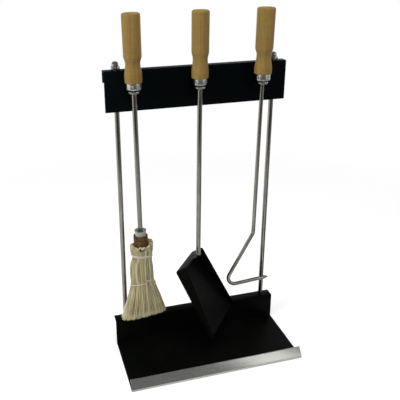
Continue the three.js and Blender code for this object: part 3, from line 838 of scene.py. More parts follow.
@dataclass(frozen=True)
class Straw:
    """Plant fibre: each strand's tone and tint come from its attributes, or from streaks."""

    name: str
    pale: Triple = (0.58, 0.54, 0.37)
    tan: Triple = (0.3, 0.26, 0.145)
    grey: Triple = (0.075, 0.073, 0.041)
    by_strand: bool = True
    depth: float = 0.05

    def material(self) -> Material:
        """Builds the material.

        Returns:
            The new material.
        """
        desk = Paint(self.name)
        streaks = desk.grain(1500, 1500, 40, rough=0.65)
        if self.by_strand:
            tone = desk.tag("tone") * 0.85 + streaks * 0.15
            tint = desk.tag("tint")
        else:
            tone = desk.between(desk.grain(900, 900, 14, rough=0.7), 0.3, 0.7)
            tint = desk.grain(300, 300, 9, detail=2)
        stops = ((0.0, self.grey), (0.42, self.tan), (0.74, self.pale), (1.0, times(self.pale, 1.3)))
        color = desk.node("ShaderNodeValToRGB", {"stops": stops}, {"Fac": tone})
        color = desk.mix(desk.between(tint, 0.55, 0.95, 0, 0.75), color, (1.08, 0.9, 0.66), "MULTIPLY")
        color = desk.mix(desk.between(tint, 0.45, 0.1, 0, 0.75), color, (0.82, 0.9, 0.74), "MULTIPLY")
        return desk.coat(
            Base_Color=color,
            Roughness=desk.between(streaks, 0.3, 0.7, 0.55, 0.75),
            Specular_IOR_Level=0.3,
            Normal=desk.bump(streaks, self.depth),
        )


@dataclass(frozen=True)
class TwistedCord:
    """Off-white twisted cord: slanted plies and loose fluff."""

    name: str = "twisted_cord"
    color: Triple = (0.7, 0.64, 0.53)
    # shade is the darker colour where the plies lie low: partly painted shade in the grooves, partly fluff
    # tone.
    shade: Triple = (0.46, 0.41, 0.335)

    def material(self) -> Material:
        """Builds the material.

        Returns:
            The new material.
        """
        desk = Paint(self.name)
        settings = {"wave_type": "BANDS", "bands_direction": "DIAGONAL"}
        inputs = {"Vector": desk.place(), "Scale": 700, "Distortion": 1.5, "Detail": 1}
        ply = desk.node("ShaderNodeTexWave", settings, inputs, "Fac")
        fluff = desk.noise(desk.place(), 2400, 3, 0.7)
        # Low ply bands get the darker colour: painted shade in the grooves between plies, mixed with random
        # fluff tone.
        tone = ply * 0.6 + fluff * 0.4
        return desk.coat(
            Base_Color=desk.mix(desk.between(tone, 0.2, 0.8), self.shade, self.color),
            Roughness=desk.between(fluff, 0.3, 0.7, 0.75, 0.95),
            Specular_IOR_Level=0.2,
            Normal=desk.bump(tone, 0.12),
        )


def coated(finish: Callable, **values: str | float | Triple) -> Material:
    """A field that holds the material of a finish with these values."""
    return field(default_factory=lambda: finish(**values).material())


@dataclass(frozen=True)
class Finishes:
    """All materials of the set, made once."""

    black: Material = coated(BlackPowderCoat)
    cool_black: Material = coated(
        BlackPowderCoat,
        name="cool_black_coat",
        color=(0.001, 0.0021, 0.0027),
        rubbed=(0.002, 0.0036, 0.0042),
    )
    strip: Material = coated(BrushedStrip)
    bar: Material = coated(DrawnBar)
    chrome: Material = coated(
        Plating, name="bright_chrome", color=(0.45, 0.46, 0.46), roughness=0.2, ring=0.003, cloudiness=0.25
    )
    satin: Material = coated(
        Plating, name="satin_nickel", color=(0.7, 0.7, 0.65), roughness=0.28, ring=0.01, cloudiness=0.45
    )
    nuts: Material = coated(
        Plating, name="dark_chrome", color=(0.5, 0.5, 0.48), roughness=0.1, ring=0.003, cloudiness=0.2
    )
    zinc: Material = coated(
        Plating,
        name="grey_plating",
        color=(0.46, 0.475, 0.415),
        roughness=0.5,
        ring=0.01,
        cloudiness=0.25,
        metal=0.5,
    )
    bare: Material = coated(
        Plating, name="bare_weld", color=(0.44, 0.42, 0.39), roughness=0.5, ring=0.03, cloudiness=0.6
    )
    beech: Material = coated(
        TurnedWood,
        name="lacquered_beech",
        light=(0.272, 0.177, 0.048),
        dark=(0.172, 0.104, 0.025),
        pore=(0.085, 0.045, 0.011),
        roughness=0.5,
        lacquer=0.04,
    )
    stained: Material = coated(
        TurnedWood,
        name="brown_stained_wood",
        light=(0.138, 0.077, 0.018),
        dark=(0.064, 0.034, 0.0074),
        pore=(0.017, 0.009, 0.003),
        roughness=0.7,
        lacquer=0.02,
        contrast=1.3,
        mottle=1.0,
    )
    strands: Material = coated(Straw, name="straw_strands")
    # The core's straw colours are a darkened copy of the strands' own: painted shade inside the bundle.
    packed: Material = coated(
        Straw,
        name="packed_straw",
        pale=(0.22, 0.19, 0.12),
        tan=(0.12, 0.1, 0.055),
        grey=(0.06, 0.055, 0.035),
        by_strand=False,
        depth=0.3,
    )
    cord: Material = coated(TwistedCord)


# ---------------------------------------------------------------- stand


def dress(piece: Piece, look: Material) -> None:
    """Gives a piece this material and no other."""
    piece.data.materials.clear()
    piece.data.materials.append(look)


def finish_piece(piece: Piece, body: str, slot: Slot, look: Material, *nodes: str) -> None:
    """Paints a piece, lets it ride on its body and stand for its CAD nodes.

    Args:
        piece: The finished mesh, in its place.
        body: The body it rides on.
        slot: The record's slot that its finish stands for; not used.
        look: Its material.
        nodes: The CAD nodes that it stands for.
    """
    dress(piece, look)
    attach(piece, body)
    if nodes:
        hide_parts(*nodes)
    LOG.info("%s: %d faces on %s", piece.name, len(piece.data.polygons), body)


def box(node: str) -> tuple[Vector, Vector]:
    """Lowest and highest corner of a CAD node's box, in millimetres."""
    low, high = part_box(node)
    return low / MM, high / MM


def middle(node: str) -> Vector:
    """Middle of a CAD node's box, in millimetres."""
    low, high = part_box(node)
    return (low + high) / 2 / MM


def paint_node(node: str, look: Material) -> None:
    """Gives a CAD node that stays its material."""
    dress(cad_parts[node], look)
    LOG.info("%s: keeps its mesh, gets %s", node, look.name)


@dataclass
class Stand:
    """Folded base with its strip, two uprights and the top bar with its nuts."""

    finishes: Finishes
    name: str = "stand"
    width: float = 300
    base_sheet: float = 2
    base_fold: float = 1.5
    lip_angle: float = 52
    lip_height: float = 14.5
    strip_sheet: float = 1
    strip_gap: float = 0.3
    strip_play: float = 0.01
    strip_hem: float = 4
    strip_fold: float = 0.7
    strip_curl: float = 40
    bar_sheet: float = 1.5
    bar_fold: float = 1.15
    bar_height: float = 64
    bar_return: float = 20
    sheet_rim: float = 0.35
    riser_inset: float = 0.5
    upright_diameter: float = 8
    nut_flats: float = 13
    nut_hex_height: float = 6
    nut_height: float = 13.6
    dome_diameter: float = 11.4
    dome_sunk: float = 0.6

    def lip_point(self, height: float, outwards: float) -> Point:
        """A point on the lip.

        Args:
            height: Its height above ground, in millimetres.
            outwards: How far out of the sheet's middle it lies, in millimetres.

        Returns:
            Its depth and height, in millimetres.
        """
        lip = math.radians(self.lip_angle)
        along = Vector((math.cos(lip), math.sin(lip)))
        normal = Vector((-math.sin(lip), math.cos(lip)))
        start = self.fold_centre() + normal * self.base_fold
        point = start + along * ((height - start.y) / math.sin(lip)) + normal * outwards
        return (point.x, point.y)

    def fold_centre(self) -> Vector:
        """Centre of the front fold.

        Returns:
            Its depth and height, in millimetres.
        """
        low, _ = box("front_trim")
        outer = self.base_fold + self.base_sheet / 2
        return Vector((low.y + outer + self.strip_gap + self.strip_sheet + self.strip_play, outer))

    def base(self) -> None:
        """The base: floor, front lip, riser and flange from one sheet."""
        _, high = box("base_tray")
        half = self.base_sheet / 2
        bend = math.radians(180 - self.lip_angle)
        front = self.fold_centre().x - self.base_fold * math.tan(bend / 2)
        riser = box("top_bar")[0].y + self.riser_inset
        top = high.z - half
        corners = [self.lip_point(self.lip_height, 0), (front, half), (riser, half)]
        corners += [(riser, top), (high.y, top)]
        radii = {k: self.base_fold for k in (1, 2, 3)}
        piece = Bench.folded("base_sheet", corners, radii, self.width, self.base_sheet, self.sheet_rim)
        finish_piece(piece, self.name, Slot.BLACK_PAINT, self.finishes.black, "base_tray")

    def strip(self) -> None:
        """The bright strip that is hemmed over the lip and curls under the fold."""
        outwards = self.base_sheet / 2 + self.strip_gap + self.strip_sheet / 2
        curl = self.base_fold + outwards
        lip = math.radians(self.lip_angle)
        along = Vector((math.cos(lip), math.sin(lip)))
        over = along * (self.strip_gap + self.strip_sheet / 2)
        corners = arc(tuple(self.fold_centre()), curl, 180 + self.strip_curl, 90 + self.lip_angle, 8)
        front, back = (Vector(self.lip_point(self.lip_height, side)) for side in (outwards, -outwards))
        corners += [tuple(front + over), tuple(back + over), tuple(back - along * self.strip_hem)]
        radii = {len(corners) - 3: self.strip_fold, len(corners) - 2: self.strip_fold}
        piece = Bench.folded("lip_strip", corners, radii, self.width, self.strip_sheet, 0.2)
        finish_piece(piece, self.name, Slot.STAINLESS_TRIM, self.finishes.strip, "front_trim")

    def top_bar(self) -> None:
        """The top bar: front plate, flange and short rear return."""
        low, high = box("top_bar")
        half = self.bar_sheet / 2
        front, back, top = low.y + half, high.y - half, high.z - half
        corners = [(front, high.z - self.bar_height), (front, top)]
        corners += [(back, top), (back, high.z - self.bar_return)]
        radii = {1: self.bar_fold, 2: self.bar_fold}
        piece = Bench.folded("bar_sheet", corners, radii, self.width, self.bar_sheet, self.sheet_rim)
        finish_piece(piece, self.name, Slot.BLACK_PAINT, self.finishes.cool_black, "top_bar")

    def upright(self, side: str) -> None:
        """One upright, between its foot on the flange and its end in the cap nut.

        Args:
            side: Left or right.
        """
        node = f"upright_{side}"
        low, high = box(node)
        piece = Bench.bar(f"upright_bar_{side}", self.upright_diameter, low.z, high.z)
        Bench.smooth(piece)
        at = middle(node)
        Bench.settle(piece, Matrix.Translation((at.x * MM, at.y * MM, 0)))
        finish_piece(piece, self.name, Slot.POLISHED_STEEL, self.finishes.bar, node)

    def cap_nut(self) -> Piece:
        """A domed cap nut with its foot at 0: chamfered hexagon, groove and dome.

        Returns:
            The nut, in object mode.
        """
        corner, flat, dome = self.nut_flats / math.sqrt(3), self.nut_flats / 2, self.dome_diameter / 2
        hex_height, sunk, over = self.nut_hex_height, self.dome_sunk, 0.05
        hexagon = Bench.cylinder("nut_hexagon", corner, 0, hex_height, 6)
        outline = [(0, -0.01), (flat - 0.1, -0.01), (corner + 0.2, 0.85), (corner + 0.2, hex_height - 0.95)]
        outline += [(flat - 0.25, hex_height + over), (0, hex_height + over)]
        Bench.cut(hexagon, "INTERSECT", Bench.turned("nut_cone", outline, 48))
        Bench.ease(hexagon, 0.15, 2, 25)
        rise = self.nut_height - hex_height
        top = [(0, 0.4), (dome - 0.75, 0.4), (dome - 0.75, 0.9), (dome - 0.1, 1.15), (dome, 1.5)]
        start = (dome, rise - dome + sunk)
        top += [start] + curve([start, (dome, rise - 1.6), (dome - 2.6, rise), (0, rise)], 12)
        top = [(radius, hex_height - sunk + height * (rise + sunk) / rise) for radius, height in top]
        return Bench.joined("cap_nut", hexagon, Bench.turned("nut_dome", top, 48))

    def top_nut(self, side: str, first: Piece) -> None:
        """A copy of the first nut, turned as the CAD node's flats lie, on one upright.

        Args:
            side: Left or right.
            first: The nut that is copied.
        """
        nut = first.copy()
        nut.data = first.data.copy()
        nut.name = f"domed_nut_{side}"
        bpy.context.scene.collection.objects.link(nut)
        node = f"cap_nut_{side}"
        low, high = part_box(node)
        at = middle(node)
        turn = 0.0 if high.y - low.y > high.x - low.x else 30.0
        place = Matrix.Translation((at.x * MM, at.y * MM, low.z))
        Bench.settle(nut, place @ Matrix.Rotation(math.radians(turn), 4, "Z"))
        Bench.smooth(nut, 30)
        finish_piece(nut, self.name, Slot.POLISHED_STEEL, self.finishes.nuts, node)

    def build(self) -> None:
        """Builds and dresses the stand."""
        self.base()
        self.strip()
        self.top_bar()
        first = self.cap_nut()
        for side in ("left", "right"):
            self.upright(side)
            self.top_nut(side, first)
            for kind in ("lock_nut", "foot_screw", "foot_washer"):
                paint_node(f"{kind}_{side}", self.finishes.zinc)
        bpy.data.objects.remove(first)
        for side in ("left", "middle", "right"):
            paint_node(f"hook_{side}", self.finishes.black)


# ---------------------------------------------------------------- tools


@dataclass
class Tool:
    """What all three tools share: handle, ferrule, hanging collar and the way they hang."""

    finishes: Finishes
    name: str
    rod_diameter: float
    lean: float = 0.0
    turn: float = 0.0
    dimple_angle: float = 25.0
    collar_diameter: float = 19
    collar_height: float = 4.2
    collar_edge: float = 1.8
    hole_chamfer: float = 0.4
    hole_play: float = 0.05
    groove: float = 1.4
    ferrule_diameter: float = 23.2
    ferrule_height: float = 10.4
    ferrule_edge: float = 2.5
    ferrule_lip: float = 0.35
    ferrule_wall: float = 1.35
    ferrule_floor: float = 1.2
    dimple_radius: float = 4.2
    dimple_depth: float = 0.75
    dimple_rise: float = 5.824
    wood_gap: float = 0.3
    shoulder_diameter: float = 26
    shoulder_radius: float = 1
    bulge_diameter: float = 28
    bulge_rise: float = 10.5
    neck_diameter: float = 22.6
    neck_rise: float = 29.2
    grip_diameter: float = 27.6
    grip_rise: float = 41
    handle_length: float = 102
    top_diameter: float = 28
    top_radius: float = 3.5
    rod_top: float = 65.6

    @property
    def ferrule_foot(self) -> float:
        """Height of the ferrule's foot above the collar's underside."""
        return self.collar_height + self.groove

    @property
    def shoulder(self) -> float:
        """Height of the wood's lower end above the collar's underside."""
        return self.ferrule_foot + self.ferrule_height

    @property
    def hung(self) -> Matrix:
        """Where the tool hangs: its own frame in the stand's frame.

        Returns:
            A matrix in metres.
        """
        tilt = Matrix.Rotation(math.radians(-self.lean), 4, "Y")
        centre = middle(f"{self.name}_hang_collar") * MM
        origin = centre - tilt @ Vector((0, 0, self.collar_height / 2 * MM))
        return Matrix.Translation(origin) @ tilt @ Matrix.Rotation(math.radians(self.turn), 4, "Z")

    def hang(self, piece: Piece, slot: Slot, look: Material, *nodes: str, angle: float = 38) -> None:
        """Shades a piece, hangs it in its place and finishes it, as finish_piece does.

        Args:
            piece: The piece, in the tool's frame.
            slot: The record's slot that its finish stands for.
            look: Its material.
            nodes: The CAD nodes that it stands for.
            angle: Angle between faces under which it is shaded smooth, in degrees.
        """
        Bench.smooth(piece, angle)
        Bench.settle(piece, self.hung)
        finish_piece(piece, self.name, slot, look, *nodes)

    def collar(self) -> None:
        """The rounded collar that rests in the hook."""
        hole, cut = self.rod_diameter / 2 + self.hole_play, self.hole_chamfer
        outer, edge, top = self.collar_diameter / 2, self.collar_edge, self.collar_height
        outline = [(hole, cut), (hole + cut, 0)]
        outline += arc((outer - edge, edge), edge, -90, 0, 8)
        outline += arc((outer - edge, top - edge), edge, 0, 90, 8)
        outline += [(hole + cut, top), (hole, top - cut), (hole, cut)]
        piece = Bench.turned(f"{self.name}_collar", outline)
        self.hang(piece, Slot.CHROME, self.finishes.chrome, f"{self.name}_hang_collar")

    def ferrule(self) -> None:
        """The ferrule with its four crimp dimples."""
        outer, edge, foot = self.ferrule_diameter / 2, self.ferrule_edge, self.ferrule_foot
        hole, lip, top = self.rod_diameter / 2 + 0.1, self.ferrule_lip, self.shoulder
        inner, floor = outer - self.ferrule_wall, foot + self.ferrule_floor
        outline = [(hole, floor), (hole, foot + 0.3), (hole + 0.3, foot)]
        outline += arc((outer - edge, foot + edge), edge, -90, 0, 10)
        outline += [(outer, top - lip)] + arc((outer - lip, top - lip), lip, 0, 90, 3)[1:]
        outline += [(inner, top), (inner, floor), (hole, floor)]
        piece = Bench.turned(f"{self.name}_sleeve", outline, 96)
        reach = outer + self.dimple_radius - self.dimple_depth
        for quarter in range(4):
            angle = math.radians(-90 - self.dimple_angle - self.turn + 90 * quarter)
            at = (reach * math.cos(angle), reach * math.sin(angle), foot + self.dimple_rise)
            Bench.cut(piece, "DIFFERENCE", Bench.ball("dimple", at, (self.dimple_radius,) * 3, 32, 20))
        Bench.ease(piece, 0.18, 2, 24)
        self.hang(piece, Slot.CHROME, self.finishes.satin, f"{self.name}_ferrule")

    def handle(self) -> None:
        """The turned handle."""
        foot = self.shoulder + self.wood_gap
        rises = (self.bulge_rise, self.neck_rise, self.grip_rise, self.handle_length)
        bulge, neck, grip, top = (self.shoulder + rise for rise in rises)
        shoulder_r, bulge_r = self.shoulder_diameter / 2, self.bulge_diameter / 2
        neck_r, grip_r, top_r = self.neck_diameter / 2, self.grip_diameter / 2, self.top_diameter / 2
        edge, tenon, under = self.shoulder_radius, self.ferrule_diameter / 2 - 1.5, self.ferrule_foot + 1.5
        outline = [(0, under), (tenon, under), (tenon, foot), (shoulder_r - edge, foot)]
        outline += arc((shoulder_r - edge, foot + edge), edge, -90, 0, 4)[1:]
        halfway = (foot + edge + bulge) / 2
        outline += curve([(shoulder_r, foot + edge), (bulge_r, halfway), (bulge_r, bulge)], 6)
        outline += curve([(bulge_r, bulge), (bulge_r, bulge + 7), (neck_r, neck - 8), (neck_r, neck)], 14)
        outline += curve([(neck_r, neck), (neck_r, neck + 5), (grip_r, grip - 4), (grip_r, grip)], 10)
        outline += [(grip_r + 0.05, grip + 20), (top_r, top - self.top_radius)]
        outline += arc((top_r - self.top_radius, top - self.top_radius), self.top_radius, 0, 82, 8)[1:]
        outline += [(top_r * 0.45, top - 0.03), (0, top)]
        piece = Bench.turned(f"{self.name}_grip", outline, 72)
        self.hang(piece, Slot.BEECH, self.finishes.beech, f"{self.name}_handle")

    def top_end(self) -> None:
        """Builds the upper end that all tools share."""
        self.collar()
        self.ferrule()
        self.handle()


@dataclass
class Shovel(Tool):
    """The ash shovel: rod, and a pan folded from sheet with a lug for the rod."""

    name: str = "shovel"
    rod_diameter: float = 8
    turn: float = 51.4
    dimple_angle: float = 42
    ferrule_diameter: float = 21.8
    shoulder_diameter: float = 26.2
    bulge_diameter: float = 26.6
    bulge_rise: float = 8.5
    neck_diameter: float = 23
    grip_diameter: float = 27
    top_diameter: float = 27.2
    rod_drop: float = 294.8
    tilt: float = 34
    rear_width: float = 79
    front_width: float = 113
    length: float = 128
    wall: float = 24
    front_wall: float = 8
    sheet: float = 1.5
    corner_radius: float = 3.25
    floor_radius: float = 1.6
    lug_width: float = 13
    lug_height: float = 32.5
    lug_overlap: float = 3
    rim: float = 0.3
    rod_short: float = 0.2
    rod_end_edge: float = 1.7
    weld_over: Point = (0.55, 0.45)
    weld_half: float = 5.2
    weld_sunk: float = 0.6

    def rod(self) -> None:
        """The rod, with its end rounded off where it sits in the lug's notch."""
        end = -self.rod_drop + self.rod_short
        piece = Bench.bar("shovel_bar", self.rod_diameter, end, self.rod_top, self.rod_end_edge)
        self.hang(piece, Slot.POLISHED_STEEL, self.finishes.bar, "shovel_rod")

    def pan_place(self) -> Matrix:
        """The pan's own frame, flat and open towards -Y, in the tool's frame.

        Returns:
            A matrix in metres.
        """
        lean = math.radians(90 - self.tilt)
        rise = self.lug_height
        at = Vector((0, rise * math.sin(lean), -self.rod_drop - rise * math.cos(lean))) * MM
        return Matrix.Translation(at) @ Matrix.Rotation(lean, 4, "X")

    def pan(self) -> None:
        """The pan: floor, rear wall and falling side walls, with the lug."""
        half = self.sheet / 2
        width, depth, tall = self.rear_width - self.sheet, self.length - half, self.wall - half
        at = (0, -half - depth / 2, half + tall / 2)
        size = (width * MM, depth * MM, tall * MM)
        piece = Bench.add("pan_sheet", bpy.ops.mesh.primitive_cube_add, at, size=1, scale=size)
        Bench.edit(piece)
        Bench.pick(piece, Kind.FACE, lambda f: f.normal.z > 0.9 or f.normal.y < -0.9)
        bpy.ops.mesh.delete(type="FACE")
        front, upper = -self.length * MM, self.wall * 0.9 * MM
        Bench.pick(piece, Kind.VERT, lambda v: abs(v.co.y - front) < NEAR * MM)
        spread = (self.front_width - self.sheet) / width
        bpy.ops.transform.resize(value=(spread, 1, 1), center_override=(0, front, 0))
        Bench.pick(piece, Kind.VERT, lambda v: abs(v.co.y - front) < NEAR * MM and v.co.z > upper)
        bpy.ops.transform.translate(value=(0, 0, (self.front_wall - self.wall) * MM))

        def rear_corner(edge: bmesh.types.BMEdge) -> bool:
            """Says whether an edge stands in a rear corner."""
            one, other = edge.verts
            return min(one.co.y, other.co.y) > -self.sheet * MM and abs(one.co.z - other.co.z) > 5 * MM

        def floor_edge(edge: bmesh.types.BMEdge) -> bool:
            """Says whether an edge lies between the floor and a wall."""
            level = all(abs(v.co.z - half * MM) < NEAR * MM for v in edge.verts)
            return level and not all(abs(v.co.y - front) < NEAR * MM for v in edge.verts)

        Bench.pick(piece, Kind.EDGE, rear_corner)
        bend = math.pi / 2 - math.atan((self.front_width - self.rear_width) / 2 / self.length)
        Bench.round_off(self.corner_radius * math.tan(bend / 2), 6)
        Bench.pick(piece, Kind.EDGE, floor_edge)
        Bench.round_off(self.floor_radius, 4)
        Bench.tidy_mesh()
        Bench.done()
        Bench.thicken(piece, self.sheet)
        Bench.ease(piece, self.rim)
        piece = Bench.joined("pan_sheet", piece, self.lug())
        Bench.settle(piece, self.pan_place())
        self.hang(piece, Slot.BLACK_PAINT, self.finishes.black, "shovel_pan")

    def lug(self) -> Piece:
        """The half-round lug that stands on the rear wall, with a notch for the rod in its end.

        Returns:
            The lug in the pan's own frame, in object mode.
        """
        radius = self.lug_width / 2
        foot = self.wall - self.lug_overlap
        notch = self.rod_diameter / 2 - 0.1
        side = math.degrees(math.acos(notch / radius))
        centre = (0, self.lug_height)
        stretch = 1 / math.cos(math.radians(self.tilt))
        outline = [(radius, foot)] + arc(centre, radius, 0, side, 6)
        round_notch = arc(centre, notch, 0, -180, 16)
        outline += [(x, self.lug_height + (z - self.lug_height) * stretch) for x, z in round_notch]
        outline += arc(centre, radius, 180 - side, 180, 6) + [(-radius, foot)]
        piece = Bench.chain("pan_lug", [(x, -self.sheet / 2, z) for x, z in outline])
        bpy.ops.mesh.edge_face_add()
        Bench.done()
        Bench.thicken(piece, self.sheet, even=False)
        Bench.ease(piece, self.rim)
        return piece

    def weld(self) -> None:
        """The bare weld that rounds the rod's end off and holds it in the lug's notch."""
        wide, deep = (self.rod_diameter / 2 + over for over in self.weld_over)
        middle_height = -self.rod_drop + self.weld_half - self.weld_sunk
        piece = Bench.ball("lug_weld", (0, 0, middle_height), (wide, deep, self.weld_half), 40, 28)
        rng = random.Random(5)
        for vert in piece.data.vertices:
            round_axis = math.atan2(vert.co.y, vert.co.x)
            height = vert.co.z / MM - middle_height
            swell = 1 + 0.02 * math.sin(round_axis * 7 + height * 2.4) + rng.uniform(-0.012, 0.012)
            vert.co.x *= swell
            vert.co.y *= swell
        self.hang(piece, Slot.POLISHED_STEEL, self.finishes.bare)

    def build(self) -> None:
        """Builds and dresses the shovel."""
        self.top_end()
        self.rod()
        self.pan()
        self.weld()


@dataclass
class Poker(Tool):
    """The poker: one bar, bent twice and drawn to a point."""

    name: str = "poker"
    rod_diameter: float = 6.6
    lean: float = -0.65
    dimple_angle: float = 60
    ferrule_diameter: float = 24.4
    shoulder_diameter: float = 27.8
    bulge_diameter: float = 27.8
    bulge_rise: float = 7.5
    grip_diameter: float = 28.2
    top_diameter: float = 28.6
    straight: float = 265.8
    slant: float = 28
    slant_length: float = 114
    arm_rise: float = 4.7
    arm_length: float = 88
    point_length: float = 8.5
    point_diameter: float = 1.2
    bend_radius: float = 14

    def rod(self) -> None:
        """The bent bar with its point."""
        slant, rise = math.radians(self.slant), math.radians(self.arm_rise)
        down = Vector((0, 0, -1))
        aside = Vector((-math.sin(slant), 0, -math.cos(slant)))
        along = Vector((math.cos(rise), 0, math.sin(rise)))
        first = down.angle(aside)
        second = aside.angle(along)
        before = self.bend_radius * math.tan(first / 2)
        after = self.bend_radius * math.tan(second / 2)
        piece = Bench.disc("poker_bar", self.rod_diameter / 2, 40, self.rod_top)

        def bend(centre: Vector, angle: float, steps: int) -> None:
            """Bends the end about a line along Y through a centre, in millimetres."""
            axis = (0, math.copysign(1, angle), 0)
            bpy.ops.mesh.spin(steps=steps, angle=abs(angle), center=tuple(centre * MM), axis=axis)

        corner = Vector((0, 0, -self.straight))
        hook = corner + aside * self.slant_length
        Bench.push(down * (self.rod_top + self.straight - before))
        at = corner - down * before
        bend(at + Vector((-1, 0, 0)) * self.bend_radius, -first, 8)
        Bench.push(aside * (self.slant_length - before - after))
        inside = Vector((-aside.z, 0, aside.x))
        if inside.dot(along) < 0:
            inside = -inside
        bend(hook - aside * after + inside * self.bend_radius, second, 20)
        Bench.push(along * (self.arm_length - self.point_length - after))
        taper = 6
        loss = 1 - self.point_diameter / self.rod_diameter
        thick = [1 - loss * (k / taper) ** 1.25 for k in range(taper + 1)]
        for k in range(1, taper + 1):
            Bench.push(along * (self.point_length / taper))
            tip = hook + along * (self.arm_length - self.point_length * (1 - k / taper))
            bpy.ops.transform.resize(value=(thick[k] / thick[k - 1],) * 3, center_override=tuple(tip * MM))
        Bench.tidy_mesh()
        Bench.done()
        self.hang(piece, Slot.POLISHED_STEEL, self.finishes.bar, "poker_rod")

    def build(self) -> None:
        """Builds and dresses the poker."""
        self.top_end()
        self.rod()


@dataclass(frozen=True)
class Strand:
    """One fibre: its middle line, its radius in millimetres, and its tone and tint from 0 to 1."""

    points: list[Vector]
    radius: float
    tone: float
    tint: float


@dataclass(frozen=True)
class Winding:
    """How a cord is wound: stops of angle in degrees and drop, its thickness, inset and tilt to the left."""

    stops: tuple[Point, ...]
    thick: float
    inset: float
    tilt: float = 0.0

    def drop(self, angle: float) -> float:
        """How far below the stock's foot the cord lies.

        Args:
            angle: Round the bundle, in degrees.

        Returns:
            The drop, in millimetres.
        """
        low, high = next(pair for pair in zip(self.stops, self.stops[1:]) if angle <= pair[1][0] + 1e-6)
        share = (1 - math.cos(math.pi * (angle - low[0]) / (high[0] - low[0]))) / 2
        return low[1] + (high[1] - low[1]) * share - self.tilt * (1 - math.cos(math.radians(angle)))


